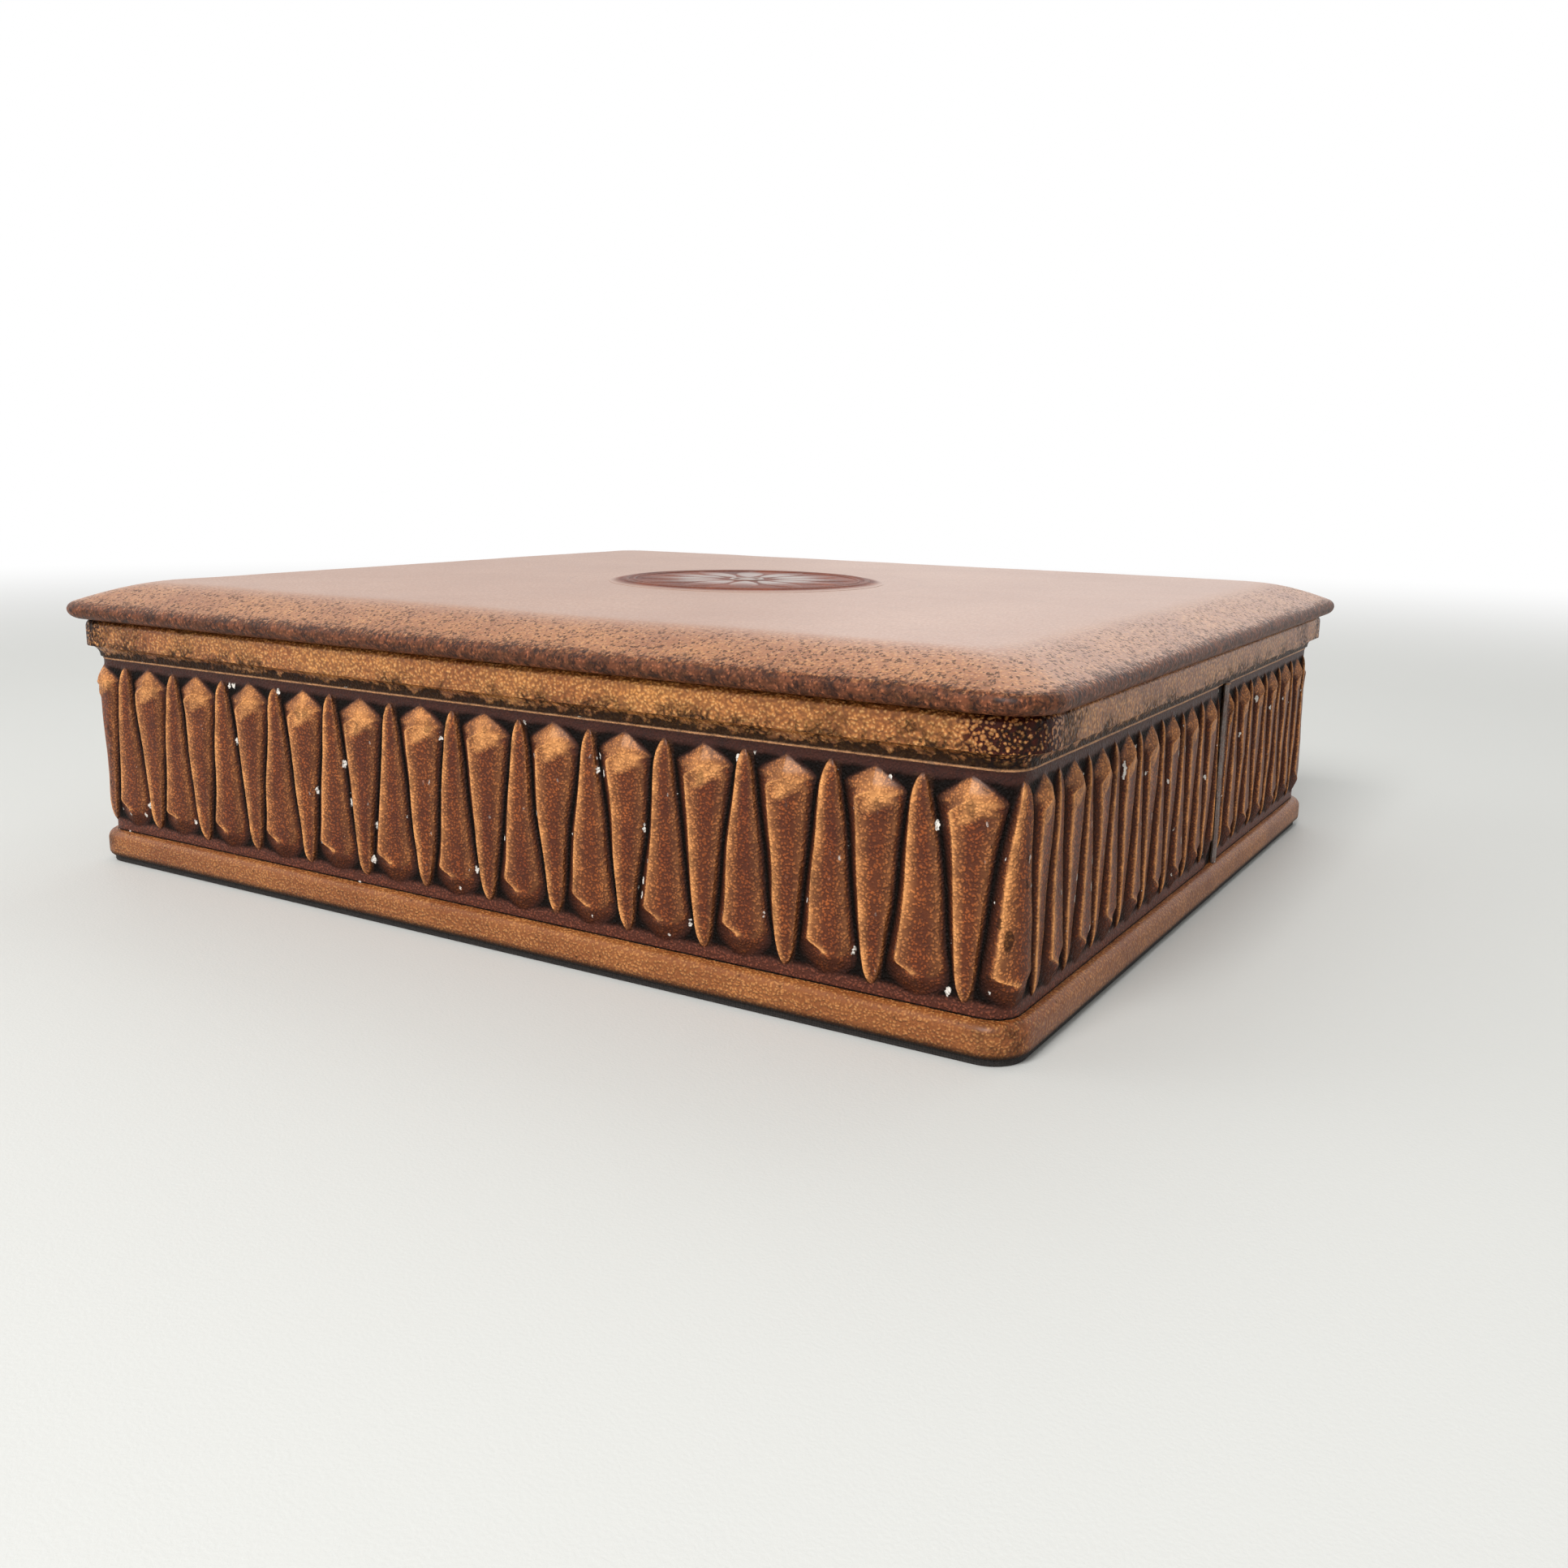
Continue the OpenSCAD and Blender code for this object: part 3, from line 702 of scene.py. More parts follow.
def makeWood(name, dark, pale, along):
    material, tree, shader = startMaterial(name)
    stretch = [260, 260, 260]
    stretch[along] = 14
    long = vectorCalc(tree, "MULTIPLY", objectPlace(tree), stretch)
    fibre = addNoise(tree, long, 1.0, 6.0, Distortion=0.4)[0]
    patina = addPatina(tree, 25, 1.6)
    base = mixColours(tree, spread(tree, fibre, 0.3, 0.7), dark, pale)
    base = mixColours(tree, times(tree, patina["Value"], 0.3), base, dark)
    rough = spread(tree, fibre, 0.2, 0.8, 0.45, 0.65)
    linkSurface(tree, shader, base, rough, fibre, 0.15 * mm)
    return material


def makeCloth(name, dark, pale, thread, rough):
    material, tree, shader = startMaterial(name)
    place = warpedPlace(tree, 0.0006, 120)
    split = put(tree, "ShaderNodeSeparateXYZ", {0: place}).outputs
    waves = [calc(tree, "SINE", times(tree, split[i], math.tau / thread)) for i in range(3)]
    weave = times(tree, plus(tree, waves[0], waves[2]), plus(tree, waves[1], 0.3))
    weave = spread(tree, weave, -1.6, 1.6)
    patina = addPatina(tree, 30, 1.8)
    base = mixColours(tree, weave, dark, pale)
    base = mixColours(tree, times(tree, patina["Value"], 0.4), base, dark)
    roughness = spread(tree, patina["Fine"], 0, 1, rough - 0.08, rough + 0.06)
    linkSurface(tree, shader, base, roughness, weave, 0.12 * mm)
    return material


def makeSteel():
    material, tree, shader = startMaterial("pinSteel")
    patina = addPatina(tree, 500, 2.0)
    base = mixColours(tree, patina["Value"], "#6f6c68", "#a9a6a1")
    rough = spread(tree, patina["Fine"], 0, 1, 0.3, 0.5)
    linkSurface(tree, shader, base, rough, patina["Fine"], 0.03 * mm)
    shader.inputs["Metallic"].default_value = 1.0
    return material


def makeWadding():
    material, tree, shader = startMaterial("wadding")
    fluff = addPatina(tree, 220, 2.4)
    base = mixColours(tree, fluff["Value"], "#c4b797", "#e2d9c2")
    rough = spread(tree, fluff["Fine"], 0, 1, 0.85, 0.95)
    linkSurface(tree, shader, base, rough, fluff["Value"], 0.6 * mm)
    return material


def seenRays(tree, *more):
    # 1 for rays from the camera, straight or by a reflection, and 0 for light on the box
    path = tree.nodes.new("ShaderNodeLightPath").outputs
    seen = path["Is Camera Ray"]
    for kind in ("Glossy", *more):
        seen = larger(tree, seen, path[f"Is {kind} Ray"])
    return seen


def makeFloorMaterial():
    material, tree, shader = startMaterial("floorPaint")
    patina = addPatina(tree, 6, 0.5)
    base = mixColours(tree, times(tree, patina["Value"], 0.25), studio["floorColour"], "#cfcfcb")
    rough = spread(tree, patina["Fine"], 0, 1, 0.62, 0.7)
    linkSurface(tree, shader, base, rough, patina["Fine"], 0.02 * mm)
    # far from the box the floor runs into the white background
    away = vectorCalc(tree, "LENGTH", objectPlace(tree))
    seen = seenRays(tree)
    fade = times(tree, spread(tree, away, studio["fadeStart"], studio["fadeEnd"]), seen)
    white = put(tree, "ShaderNodeEmission", {"Color": (1, 1, 1, 1), "Strength": 1.0})
    mix = put(tree, "ShaderNodeMixShader", {0: fade, 1: shader.outputs[0], 2: white.outputs[0]})
    # from below the floor is clear, so that the underside can be looked at
    below = tree.nodes.new("ShaderNodeNewGeometry").outputs["Backfacing"]
    clear = tree.nodes.new("ShaderNodeBsdfTransparent").outputs[0]
    final = put(tree, "ShaderNodeMixShader", {0: below, 1: mix.outputs[0], 2: clear})
    output = next(node for node in tree.nodes if node.type == "OUTPUT_MATERIAL")
    tree.links.new(final.outputs[0], output.inputs[0])
    return material


print("materials")
rimLeatherMaterial = makeRimLeather()
baseLeatherMaterial = makeBaseLeather()
friezeMaterial = makeFriezeLeather()
lidMaterial = makeLidLeather()
medallionMaterial = makeMedallionLeather()
liningCloth = makeCloth("liningCloth", "#4a1a17", "#7c352e", 0.9 * mm, 0.62)
bottomCloth = makeCloth("bottomCloth", "#0f0c0b", "#29211d", 0.7 * mm, 0.85)
steelMaterial = makeSteel()
waddingMaterial = makeWadding()
woodX = makeWood("woodAlongX", "#8c6236", "#c59a66", 0)
woodY = makeWood("woodAlongY", "#85592f", "#bd915e", 1)
finishes = [
    (bottomCloth, ["bottom_cover"]),
    (woodX, ["bottom_board", "front_wall", "back_wall", "base_batten_front", "base_batten_back",
             "rim_batten_front", "rim_batten_back", "lid_board", "locating_rail_front",
             "locating_rail_back"]),
    (woodY, ["left_wall", "right_wall", "base_batten_left", "base_batten_right", "rim_batten_left",
             "rim_batten_right", "locating_rail_left", "locating_rail_right"]),
    (steelMaterial, ["corner_pins"]),
    (waddingMaterial, ["lid_padding"]),
    (liningCloth, ["floor_lining", "front_lining", "back_lining", "left_lining", "right_lining",
                   "lid_lining"]),
    (baseLeatherMaterial, ["base_leather"]),
    (rimLeatherMaterial, ["rim_leather"]),
    (friezeMaterial, ["frieze_strip_front", "frieze_strip_rear"]),
    (lidMaterial, ["lid_leather"]),
    (medallionMaterial, ["lid_medallion"]),
]
for material, names in finishes:
    for name in names:
        for slot in nodes[name].material_slots:
            slot.material = material


# base moulding

baseShape = {
    "cornerRadius": 10.7 * mm,
    "topRadius": 3 * mm,
    "footRadius": 2 * mm,
    "depth": 4.5 * mm,
    "leather": 1 * mm,
    "wave": 0.12 * mm,
}


def roundEdges(piece, wanted, radius, segments):
    startEdit(piece)
    pickEdges(piece, wanted)
    bpy.ops.mesh.bevel(offset=radius, segments=segments, profile=0.5, affect="EDGES")
    endEdit()


def roundBlock(name, low, high, cornerRadius):
    clearSelection()
    bpy.ops.mesh.primitive_cube_add(size=1, location=(low + high) / 2, scale=high - low)
    piece = takeNew(name)
    roundEdges(piece, isUpright, cornerRadius, 14)
    return piece


def roundRing(piece, z, radius, segments):
    # rounds the outer edge that runs round the block at height z
    roundEdges(piece, lambda a, b: abs(a.z - z) < 1e-5 and abs(b.z - z) < 1e-5, radius, segments)


def openFace(piece, z, margin):
    # leaves a flat margin on the end face at height z and takes the middle away
    startEdit(piece)
    pickFaces(piece, lambda c, n: abs(c.z - z) < 1e-5 and abs(n.z) > 0.9)
    bpy.ops.mesh.inset(thickness=margin)
    bpy.ops.mesh.delete(type="FACE")
    endEdit()


waveScales = {"broad": 38, "fine": 95}


def addWaves(piece, wave):
    # slight unevenness of hand laid leather
    for vertex in piece.data.vertices:
        broad = noise.noise(vertex.co * waveScales["broad"])
        fine = noise.noise(vertex.co * waveScales["fine"])
        vertex.co += vertex.normal * (broad * 0.6 + fine * 0.4) * wave


def finishBand(piece, shape, material, replaced):
    cutLongRuns(piece, 5 * mm)
    addWaves(piece, shape["wave"])
    addModifier(piece, "SOLIDIFY", thickness=shape["leather"], offset=-1)
    shadeSmooth(piece)
    finishPiece(piece, "case", material, replaced)


def makeBase():
    shape = baseShape
    piece = roundBlock("baseLeather", baseLow, baseHigh, shape["cornerRadius"])
    roundRing(piece, baseHigh.z, shape["topRadius"], 7)
    roundRing(piece, baseLow.z, shape["footRadius"], 5)
    openFace(piece, baseHigh.z, shape["depth"] - shape["topRadius"])
    openFace(piece, baseLow.z, shape["depth"] - shape["footRadius"])
    finishBand(piece, shape, baseLeatherMaterial, "base_leather")


# rim moulding with the hollow under it

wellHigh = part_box("floor_lining")[1]


def makeRim():
    shape = rimShape
    rimFoot = rimHigh.z - shape["height"]
    low = Vector((rimLow.x, rimLow.y, rimFoot + shape["cove"]))
    piece = roundBlock("rimLeather", low, rimHigh, shape["cornerRadius"])
    roundRing(piece, rimHigh.z, shape["topRadius"], 6)
    # the hollow goes in and down in short steps
    startEdit(piece)
    pickFaces(piece, lambda c, n: n.z < -0.9)
    steps = shape["coveSteps"]
    for i in range(steps):
        a, b = (math.pi / 2 * k / steps for k in (i, i + 1))
        inward = shape["cove"] * (math.sin(b) - math.sin(a))
        down = shape["cove"] * (math.cos(a) - math.cos(b))
        bpy.ops.mesh.inset(thickness=inward, depth=down)
    bpy.ops.mesh.inset(thickness=shape["backMargin"])
    bpy.ops.mesh.delete(type="FACE")
    endEdit()
    # across the top of the walls, then down inside the well
    startEdit(piece)
    pickFaces(piece, lambda c, n: n.z > 0.9 and c.z > rimHigh.z - 1e-5)
    bpy.ops.mesh.inset(thickness=shape["wallTop"] - shape["innerRadius"] * 0.6)
    shapeMesh = bmesh.from_edit_mesh(piece.data)
    inner = [v for v in shapeMesh.verts if v.select]
    wide = max(v.co.x for v in inner)
    deep = max(v.co.y for v in inner)
    bpy.ops.mesh.extrude_region_move()
    target = ((wellHigh.x - shape["leather"]) / wide, (wellHigh.y - shape["leather"]) / deep, 1)
    bpy.ops.transform.resize(value=target, center_override=(0, 0, rimHigh.z))
    bpy.ops.mesh.extrude_region_move(TRANSFORM_OT_translate={"value": (0, 0, -shape["skirt"])})
    bpy.ops.mesh.delete(type="FACE")
    endEdit()
    finishBand(piece, shape, rimLeatherMaterial, "rim_leather")


# frieze: two strips of leather moulded over darts that point up and down by turns

friezeShape = {
    "caseWidth": 337,
    "caseDepth": 298,
    "cornerRadius": 10.5,
    "groundIn": 3,
    "longCount": 27,
    "shortCount": 29,
    "shift": 2.3,
    "low": 10.6,
    "thickness": 1.14,
    "seamGap": 0.5,
    "groove": 0.55,
    "headHalf": 7.3,
    "tailHalf": 2.6,
    "topLift": 2.5,
    "crease": 0.2,
    "ridgeShare": -0.6,
    "flatShare": 0.84,
    "flatLift": 0.62,
    "gemFoot": 45.2,
    "gemTop": 51.3,
    "gemRise": 0.8,
    "seamPlace": 167,  # the seam, back from the front corner on the right side
    "seamGroove": 3,
    "seamRun": 8,
    "turnedEdge": [(0, 0.4), (0.5, 1.0), (2.3, 1.1), (3.6, 0.75)],  # place past the seam, lift
    "ridgeRubAndHighlight": (0.35, 1.15),  # width in the crest colour before and after a ridge: rubbed wear with painted highlight
    "flatRubAndHighlight": 0.5,
    "fold": (58.5, 59),  # a thin fold just under the rim, with a painted highlight line and painted grey sheen
    "calmEnds": 6,  # no sway near the mouldings
    "sway": 1.0,
    "depthSway": 0.22,
    "roughness": 0.09,
}

# outline of a dart, from its point to its head: distance along it, half width, lift of its ridge
point = [(0, 0.3, 0), (3.0, 0.3, 0), (4.4, 1.2, 0.8), (6.5, 2.0, 1.35), (9.5, 2.6, 1.6)]
headOutline = point + [
    (44.5, 6.3, 2.0), (48.0, 6.7, 2.0), (51.3, 7.3, 2.5), (52.4, 6.4, 2.3),
    (54.6, 3.2, 1.15), (56.6, 0.3, 0), (59.4, 0.3, 0),
]
footOutline = point + [
    (44.5, 6.3, 2.1), (49.0, 7.0, 2.2), (51.6, 7.0, 2.25), (53.2, 6.2, 1.65),
    (54.8, 4.6, 0.95), (56.0, 2.6, 0.35), (56.9, 0.3, 0), (59.4, 0.3, 0),
]
rowHeights = (
    [0, 0.3, 0.6, 1.4, 2.3] + [3.0 + 0.62 * i for i in range(13)]
    + [11.2, 12.6, 14.5, 17, 20, 23.5, 27, 30, 32.4, 35.9, 39.4, 42.4, 44.9, 46.8, 48.2]
    + [48.96 + 0.62 * i for i in range(13)] + [57.2, 58.3, 58.55, 58.8, 59.4]
)
columns = 15  # eleven across the dart and two of the ground on each side


def outlineAt(i, height, column):
    # even darts have their head at the top, odd ones at the bottom
    outline = headOutline if i % 2 == 0 else footOutline
    look = height if i % 2 == 0 else rowHeights[-1] - height
    for a, b in zip(outline, outline[1:]):
        if look <= b[0]:
            t = (look - a[0]) / (b[0] - a[0])
            return a[column] + (b[column] - a[column]) * t
    return outline[-1][column]


groundRadius = friezeShape["cornerRadius"] - friezeShape["groundIn"]
halfArc = groundRadius * math.pi / 4
runs = [friezeShape[name] - 2 * friezeShape["cornerRadius"] for name in ("caseWidth", "caseDepth")]
sides = [runs[0] + 2 * halfArc, runs[1] + 2 * halfArc] * 2
sideStarts = [0, sides[0], sides[0] + sides[1], 2 * sides[0] + sides[1]]
girth = 2 * (sides[0] + sides[1])
counts = [friezeShape["longCount"], friezeShape["shortCount"]] * 2
dartSpots = []
for side in range(4):
    for j in range(counts[side]):
        dartSpots.append(sideStarts[side] + j * sides[side] / counts[side] + friezeShape["shift"])


def dartSpot(i):
    total = len(dartSpots)
    return dartSpots[i % total] + girth * math.floor(i / total)


def dartWidth(i, height, side):
    # half width of dart i at a height, fitted to the spacing on that side of it
    spacing = abs(dartSpot(i + side) - dartSpot(i))
    fit = (spacing - friezeShape["groove"]) / (friezeShape["headHalf"] + friezeShape["tailHalf"])
    return outlineAt(i, height, 1) * fit


def wrapRound(s, height, lift):
    # a place along the strip becomes a place round the case
    s = s % girth
    side = max(k for k in range(4) if s >= sideStarts[k])
    u = s - sideStarts[side]
    run = runs[side % 2]
    reach = runs[1 - side % 2] / 2
    radius = groundRadius + lift
    if u < halfArc:
        a = math.radians(-135 + 45 * u / halfArc)
        x, y = -run / 2 + radius * math.cos(a), -reach + radius * math.sin(a)
    elif u > halfArc + run:
        a = math.radians(-90 + 45 * (u - halfArc - run) / halfArc)
        x, y = run / 2 + radius * math.cos(a), -reach + radius * math.sin(a)
    else:
        x, y = u - halfArc - run / 2, -reach - radius
    for _ in range(side):
        x, y = -y, x
    return Vector((x, y, height + friezeShape["low"])) * mm


def makeDartCell():
    # one dart with its share of the ground, flat, made once and copied along the strips
    clearSelection()
    rows = len(rowHeights)
    bpy.ops.mesh.primitive_grid_add(x_subdivisions=columns - 1, y_subdivisions=rows - 1, size=1)
    return takeNew("dartCell")


def crossSection(look):
    # the dart's columns and their lifts as shares: steep on the left, nearly flat on the right,
    # and even on both sides at the head
    f = friezeShape
    head = smoothStep(f["gemFoot"] + 3, f["gemTop"], look)
    ridge = f["ridgeShare"] * (1 - head)
    flat = f["flatShare"] * (1 - head) + 0.5 * head
    flatLift = f["flatLift"] * (1 - head) + 0.5 * head
    left = [-1 + (ridge + 1) * t for t in (0, 0.35, 0.7, 0.9)]
    right = [ridge + (flat - ridge) * t for t in (0, 0.1, 0.4, 0.7, 1)]
    shares = left + right + [(flat + 1) / 2, 1]
    lifts = []
    for share in shares:
        if share <= ridge:
            lifts.append((share + 1) / (ridge + 1))
        elif share <= flat:
            lifts.append(1 + (flatLift - 1) * (share - ridge) / (flat - ridge))
        else:
            lifts.append(flatLift * (1 - share) / (1 - flat))
    return shares, lifts, ridge, flat


def shapeCell(piece, i, first, last):
    # sets the cell's columns to the dart's edges, ridge and grooves, in strip millimetres
    f = friezeShape
    top = rowHeights[-1]
    spot = dartSpot(i)
    isDown = i % 2 == 0
    stored = {name: [] for name in dartValues}
    order = sorted(piece.data.vertices, key=lambda v: (round(v.co.y, 5), round(v.co.x, 5)))
    place = {v.index: (n // columns, n % columns) for n, v in enumerate(order)}
    for vertex in piece.data.vertices:
        row, column = place[vertex.index]
        height = rowHeights[row]
        look = height if isDown else top - height
        rise = outlineAt(i, height, 2)
        body = smoothStep(0.0, 0.9, rise)
        if 2 <= column < columns - 2:
            shares, parts, ridge, flat = crossSection(look)
            share = shares[column - 2]
            half = dartWidth(i, height, -1 if share < 0 else 1)
            s = spot + share * half
            lift = rise * parts[column - 2]
            away = abs(share - ridge) * half
            # crest colour along the ridge and the flat's edge: rubbed wear with painted highlight, kept
            # narrow on the left, where painted shade lies
            rubAndHighlight = math.exp(-(away / f["ridgeRubAndHighlight"][0 if share < ridge else 1]) ** 2)
            rubAndHighlight = max(rubAndHighlight, 0.4 * math.exp(-(abs(share - flat) * half / f["flatRubAndHighlight"]) ** 2))
            shade = smoothStep(0.05, 0.5, (ridge - share) / (ridge + 1))
            shade = max(shade, smoothStep(flat - 0.1, 1.0, share) * 0.75)
            shade = max(shade, smoothStep(ridge + 0.25, flat, share) * 0.38)
            # on a gem the right facets get more painted highlight than the left ones
            if f["gemFoot"] < look <= f["gemTop"] and isDown:
                reach = (look - f["gemFoot"]) / (f["gemTop"] - f["gemFoot"])
                gem = max(0, 1 - abs(share) / max(reach, 0.02))
                lift += f["gemRise"] * gem * (1 - reach) ** 0.5
                rubAndHighlight = max(rubAndHighlight, smoothStep(0, 0.3, gem) * (0.95 if share > -0.05 else 0.5))
                shade *= 1 - 0.8 * smoothStep(0, 0.3, gem)
            # end facets: on down darts they face up and get painted highlight, brighter on the right; on up
            # darts they face down and get painted shade
            if look > f["gemTop"]:
                if isDown:
                    rubAndHighlight = (1 - abs(share)) ** 0.65 * (1.0 if share > 0.05 else 0.7)
                    shade = 0.0
                else:
                    rubAndHighlight *= 0.1
                    shade = max(shade, 0.75 * smoothStep(f["gemTop"], f["gemTop"] + 1.2, look))
            rubAndHighlight *= min(1, rise / 0.9)
            crease = (0.6 if share == 1 else smoothStep(0.8, 1.0, -share) * 0.85) * body
            if rise < 0.02:
                rubAndHighlight, shade, crease = 0.0, 0.0, 0.0
        else:
            side = -1 if column < 2 else 1
            edge = spot + side * dartWidth(i, height, side)
            otherEdge = dartSpot(i + side) - side * dartWidth(i + side, height, -side)
            middle = (edge + otherEdge) / 2
            s = middle if column in (0, columns - 1) else edge + (middle - edge) * 0.45
            lift = -f["crease"] * body if column in (0, columns - 1) else -0.1 * body
            rubAndHighlight, shade, crease = 0.0, 0.0, body
        turned = 0.0
        if i == last:
            # the strip runs out into a dark groove along a straight seam
            seam = (spot + dartSpot(i + 1) - f["seamGap"]) / 2
            back = columns - 1 - column
            if back < 3:
                s = seam - f["seamGroove"] * back / 2
            else:
                s = min(s, seam - f["seamGroove"] - 0.15 * (back - 2))
            fall = smoothStep(f["seamGroove"], f["seamRun"], seam - s)
            lift = lift * fall - 0.45 * (1 - fall)
            rubAndHighlight, crease = rubAndHighlight * fall, max(crease * fall, 1 - fall)
        if i == first:
            # and the next strip starts with a turned edge, coloured grey as painted sheen
            seam = (spot + dartSpot(i - 1) + f["seamGap"]) / 2
            if column < 4:
                s = seam + f["turnedEdge"][column][0]
                lift, rubAndHighlight, crease, shade, turned = f["turnedEdge"][column][1], 0.0, 0.0, 0.0, 1.0
            else:
                s = max(s, seam + f["turnedEdge"][3][0] + 0.15 * (column - 3))
        # black along both mouldings
        low, high = f["fold"]
        if height < 0.5 or height >= high:
            crease = 1.0
        # the fold under the rim: lifted, with a painted highlight line and painted grey sheen
        elif height > low:
            lift += 0.25
            rubAndHighlight, crease, turned = 1.0, 0.0, 0.35
        vertex.co = (s, lift, height)
        for name, value in zip(dartValues, (max(0, lift) / f["topLift"], rubAndHighlight, crease, shade, turned)):
            stored[name].append(value)
    for name, values in stored.items():
        storeValues(piece, name, values)


def makeStrip(name, first, last, node, cell):
    copies = []
    for i in range(first, last + 1):
        copy = addObject(f"{name}{i}", cell.data.copy())
        shapeCell(copy, i, first, last)
        copies.append(copy)
    joinPieces(copies)
    piece = copies[0]
    piece.name = name
    startEdit(piece, True)
    bpy.ops.mesh.remove_doubles(threshold=0.002)
    endEdit()
    # each dart sways a little, the strip's depth varies, and then it goes round the case
    f = friezeShape
    top = rowHeights[-1]
    for vertex in piece.data.vertices:
        s, lift, height = vertex.co
        calm = smoothStep(0, f["calmEnds"], height) * smoothStep(0, f["calmEnds"], top - height)
        s += noise.noise(Vector((s * 0.075, height * 0.05, 3.1))) * f["sway"] * calm
        height += noise.noise(Vector((s * 0.11, 7.7, height * 0.01))) * f["sway"] * calm
        deep = 1 + f["depthSway"] * noise.noise(Vector((s * 0.09, height * 0.06, 11.3)))
        rough = noise.noise(Vector((s * 0.45, height * 0.3, 5.5))) * f["roughness"]
        lift = lift * deep + rough * calm
        vertex.co = wrapRound(s, height, lift)
    startEdit(piece, True)
    bpy.ops.mesh.normals_make_consistent(inside=False)
    endEdit()
    middle = piece.data.polygons[len(piece.data.polygons) // 2]
    outward = Vector((middle.center.x, middle.center.y, 0))
    if middle.normal.dot(outward) < 0:
        piece.data.flip_normals()
    addModifier(piece, "SOLIDIFY", thickness=f["thickness"] * mm, offset=-1)
    shadeSmooth(piece, 50)
    finishPiece(piece, "case", friezeMaterial, node)


def makeFrieze():
    f = friezeShape
    along = f["seamPlace"] - f["cornerRadius"] + halfArc - f["shift"]
    step = round(along / (sides[1] / counts[1]) - 0.5)
    seam = counts[0] + step
    rear = len(dartSpots) - step
    cell = makeDartCell()
    makeStrip("friezeStripFront", rear + 1 - len(dartSpots), seam, "frieze_strip_front", cell)
    makeStrip("friezeStripRear", seam + 1, rear, "frieze_strip_rear", cell)
    bpy.data.objects.remove(cell)


# lid

lidShape = {
    "cornerRadius": 13 * mm,
    "noseRadius": 2.9 * mm,
    "noseTop": 65,  # degrees of the rounded edge above its widest place
    "noseSteps": 6,
    "domeSteps": 12,
    "underSteps": 5,
    "fieldLoops": (30, 40, 52, 66, 82, 100, 120, 138, 150),
    "domeRun": 24 * mm,
    "domePower": 1.6,
    "turnIn": 15 * mm,
    "leather": 1 * mm,
    "wave": 0.35 * mm,
    "broadWave": 17,
    "fineWave": 45,
    "calm": (52 * mm, 75 * mm),  # no waves under the medallion
    "slope": (12 * mm, 27 * mm),  # the slope's finish fades into the field's
}


def makeLid():
    shape = lidShape
    radius = shape["noseRadius"]
    equator = lidLow.z + radius
    width = lidHigh.x - lidLow.x
    depth = lidHigh.y - lidLow.y
    sliver = 0.05 * mm
    piece = roundBlock("lidLeather", Vector((lidLow.x, lidLow.y, equator - sliver)),
                       Vector((lidHigh.x, lidHigh.y, equator + sliver)), shape["cornerRadius"])
    # cross cuts first, so that every loop above has them too
    cutLongRuns(piece, 9 * mm)
    top = math.radians(shape["noseTop"])
    levels = []
    for i in range(1, shape["noseSteps"] + 1):
        a = top * i / shape["noseSteps"]
        levels.append((radius * (1 - math.cos(a)), equator + radius * math.sin(a)))
    footIn, footZ = levels[-1]
    for i in range(1, shape["domeSteps"] + 1):
        t = i / shape["domeSteps"]
        rise = lidHigh.z - footZ
        levels.append((footIn + (shape["domeRun"] - footIn) * t,
                       footZ + rise * (1 - (1 - t) ** shape["domePower"])))
    for inset in shape["fieldLoops"]:
        levels.append((inset * mm, lidHigh.z))
    under = []
    for i in range(1, shape["underSteps"] + 1):
        a = math.pi / 2 * i / shape["underSteps"]
        under.append((radius * (1 - math.cos(a)), equator - radius * math.sin(a)))
    under += [(6 * mm, lidLow.z), (shape["turnIn"], lidLow.z)]
    for upward, loops in ((True, levels), (False, under)):
        startEdit(piece)
        pickFaces(piece, lambda c, n: n.z > 0.9 if upward else n.z < -0.9)
        was = (0, equator + sliver if upward else equator - sliver)
        for inset, z in loops:
            bpy.ops.mesh.extrude_region_move(TRANSFORM_OT_translate={"value": (0, 0, z - was[1])})
            across = (width - 2 * inset) / (width - 2 * was[0])
            along = (depth - 2 * inset) / (depth - 2 * was[0])
            bpy.ops.transform.resize(value=(across, along, 1), center_override=(0, 0, z))
            was = (inset, z)
        if upward:
            bpy.ops.mesh.poke()
        else:
            bpy.ops.mesh.delete(type="FACE")
        endEdit()
    slope, edge = [], []
    for vertex in piece.data.vertices:
        x, y, z = vertex.co
        inset = min(width / 2 - abs(x), depth / 2 - abs(y))
        free = smoothStep(equator, footZ + 3 * mm, z) * smoothStep(*shape["calm"], math.hypot(x, y))
        broad = noise.noise(Vector((x, y, 0)) * shape["broadWave"])
        fine = noise.noise(Vector((x, y, 4)) * shape["fineWave"])
        vertex.co.z += (broad * 0.65 + fine * 0.35 - 0.3) * shape["wave"] * free
        slope.append(1 - smoothStep(*shape["slope"], inset))
        over = smoothStep(equator + 0.5 * mm, footZ + 1.2 * mm, z)
        edge.append(1 - 0.6 * over - 0.4 * smoothStep(2 * mm, 8 * mm, inset))
    storeValues(piece, "slope", slope)
    storeValues(piece, "edge", edge)
    addModifier(piece, "SUBSURF", levels=1, render_levels=1)
    addModifier(piece, "SOLIDIFY", thickness=shape["leather"], offset=-1)
    shadeSmooth(piece, 60)
    finishPiece(piece, "lid", lidMaterial, "lid_leather")


# medallion: a plain rosette in low relief

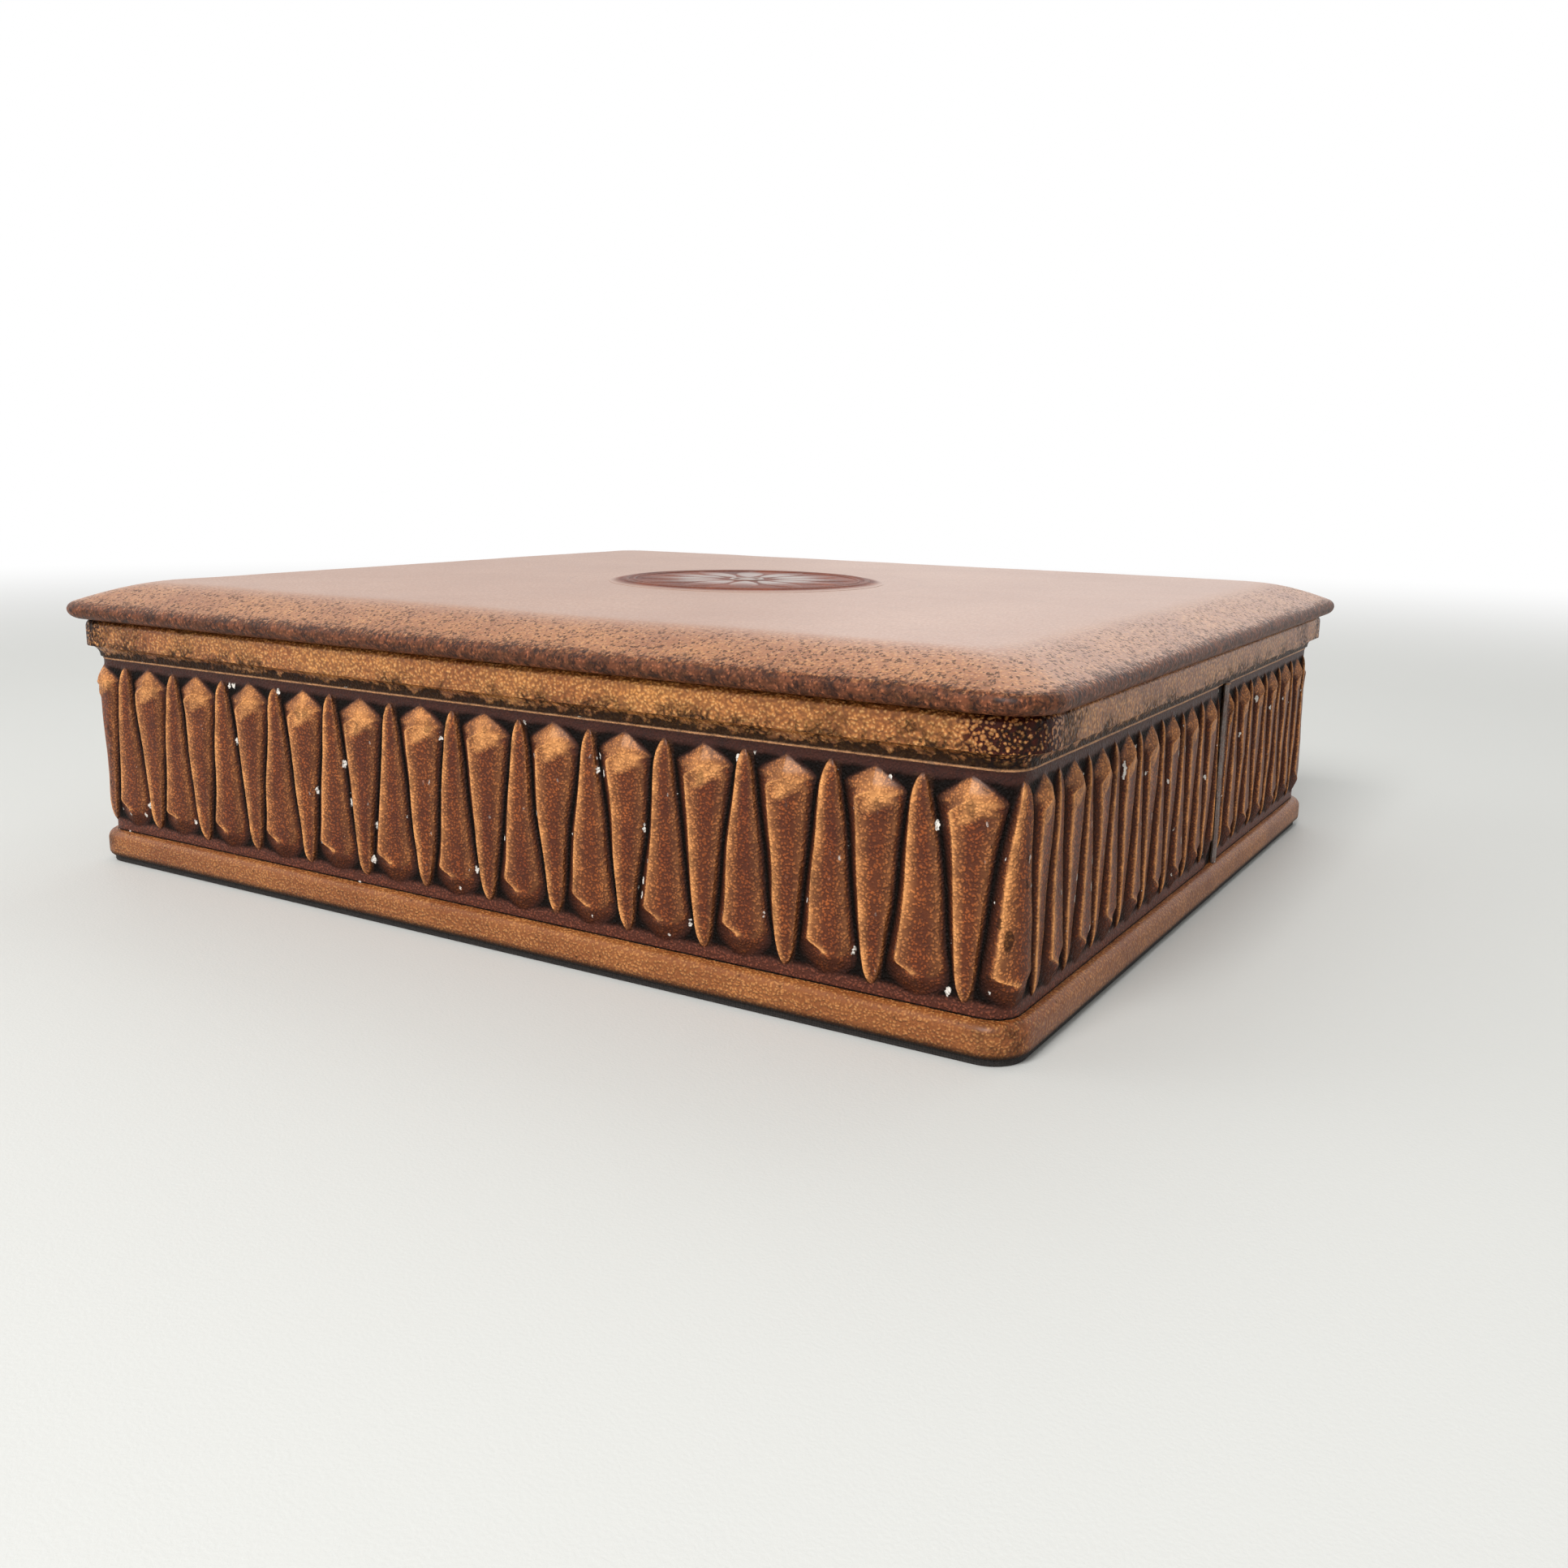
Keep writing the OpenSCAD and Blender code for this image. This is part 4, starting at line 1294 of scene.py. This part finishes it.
medallionShape = {
    "leather": 0.5 * mm,
    "border": 4 * mm,
    "bossRadius": 7 * mm,
    "petals": 12,
    "petalLength": 31 * mm,
    "petalHalf": 4.6 * mm,
    "relief": 0.45 * mm,
    "bossHalf": 3.4 * mm,
    "paredEdge": 0.06 * mm,
    # rings: how far in from the edge, half width, share of the relief
    "rings": [(6 * mm, 1.2 * mm, 1), (9 * mm, 0.6 * mm, 0.8), (43.5 * mm, 0.8 * mm, 1)],
}
medalLow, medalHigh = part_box("lid_medallion")


def makeRing(radius, half, z, height):
    clearSelection()
    bpy.ops.mesh.primitive_torus_add(location=(0, 0, z), major_radius=radius, minor_radius=half,
                                     major_segments=120, minor_segments=10)
    piece = takeNew("ring")
    startEdit(piece, True)
    bpy.ops.transform.resize(value=(1, 1, height / half), center_override=(0, 0, z))
    endEdit()
    return piece


def makePetal(z):
    # one petal: a flattened ball drawn out to a point, with a raised edge
    shape = medallionShape
    clearSelection()
    bpy.ops.mesh.primitive_uv_sphere_add(segments=20, ring_count=10, radius=1)
    piece = takeNew("petal")
    start = shape["bossRadius"] + 1.2 * mm
    middle = start + shape["petalLength"] / 2
    for vertex in piece.data.vertices:
        x, y, h = vertex.co
        bow = max(0, 1 - x * x) ** 0.35
        width = shape["petalHalf"] * (1.15 + 0.25 * x)
        vertex.co = (middle + x * shape["petalLength"] / 2, y * width * bow, z + h * shape["relief"])
    return piece


def makeMedallion():
    shape = medallionShape
    radius = medalHigh.x
    top = medalLow.z + shape["leather"]
    clearSelection()
    bpy.ops.mesh.primitive_cylinder_add(vertices=128, radius=radius, depth=shape["leather"],
                                        location=(0, 0, medalLow.z + shape["leather"] / 2))
    disc = takeNew("lidMedallion")
    startEdit(disc)
    pickFaces(disc, lambda c, n: n.z > 0.9)
    bpy.ops.mesh.inset(thickness=shape["border"])
    pickEdges(disc, lambda a, b: min(a.z, b.z) > top - 1e-5 and min(a.xy.length, b.xy.length) > radius - mm)
    bpy.ops.transform.translate(value=(0, 0, shape["paredEdge"] - shape["leather"]))
    endEdit()
    pieces = [disc]
    for inward, half, share in shape["rings"]:
        pieces.append(makeRing(radius - inward, half, top, shape["relief"] * share))
    clearSelection()
    bpy.ops.mesh.primitive_uv_sphere_add(segments=24, ring_count=12, radius=1, location=(0, 0, top),
                                         scale=(shape["bossHalf"], shape["bossHalf"], shape["relief"]))
    pieces.append(takeNew("boss"))
    petal = makePetal(top)
    for k in range(shape["petals"]):
        copy = addObject(f"petal{k}", petal.data.copy())
        copy.data.transform(Matrix.Rotation(math.tau * k / shape["petals"], 4, "Z"))
        pieces.append(copy)
    bpy.data.objects.remove(petal)
    joinPieces(pieces)
    places = [vertex.co for vertex in disc.data.vertices]
    storeValues(disc, "relief", [smoothStep(top - 0.02 * mm, top + 0.3 * mm, p.z) for p in places])
    storeValues(disc, "border", [smoothStep(radius - 3.9 * mm, radius - mm, p.xy.length) for p in places])
    shadeSmooth(disc, 50)
    finishPiece(disc, "lid", medallionMaterial, "lid_medallion")


def makeFloor():
    clearSelection()
    bpy.ops.mesh.primitive_plane_add(size=studio["floorSize"], location=(0, 0, -studio["floorDrop"]))
    floor = takeNew("floor")
    # open under the box, so that the underside gets light when it is looked at
    wide, deep = studio["floorGap"]
    startEdit(floor, True)
    bpy.ops.mesh.inset(thickness=(studio["floorSize"] - deep) / 2)
    bpy.ops.transform.resize(value=(wide / deep, 1, 1), center_override=(0, 0, 0))
    bpy.ops.mesh.bevel(offset=studio["gapRadius"], segments=6, affect="VERTICES")
    pickFaces(floor, lambda c, n: c.length < 0.01)
    bpy.ops.mesh.delete(type="FACE")
    endEdit()
    floor.data.materials.append(makeFloorMaterial())


def makeWorld():
    world = bpy.data.worlds.new("studio")
    bpy.context.scene.world = world
    world.use_nodes = True
    tree = world.node_tree
    tree.nodes.clear()
    seen = seenRays(tree, "Transmission")
    soft = put(tree, "ShaderNodeBackground", {"Color": colour(studio["worldColour"]),
                                              "Strength": studio["worldLevel"]})
    white = put(tree, "ShaderNodeBackground", {"Color": (1, 1, 1, 1), "Strength": 1.0})
    mix = put(tree, "ShaderNodeMixShader", {0: seen, 1: soft.outputs[0], 2: white.outputs[0]})
    put(tree, "ShaderNodeOutputWorld", {"Surface": mix.outputs[0]})


print("camera and light")
bpy.context.scene.view_settings.view_transform = "Standard"
makeCamera()
makeFloor()
makeWorld()
makeLamps()
print("base moulding")
makeBase()
print("rim moulding")
makeRim()
print("frieze")
makeFrieze()
print("lid")
makeLid()
print("medallion")
makeMedallion()

clearSelection()
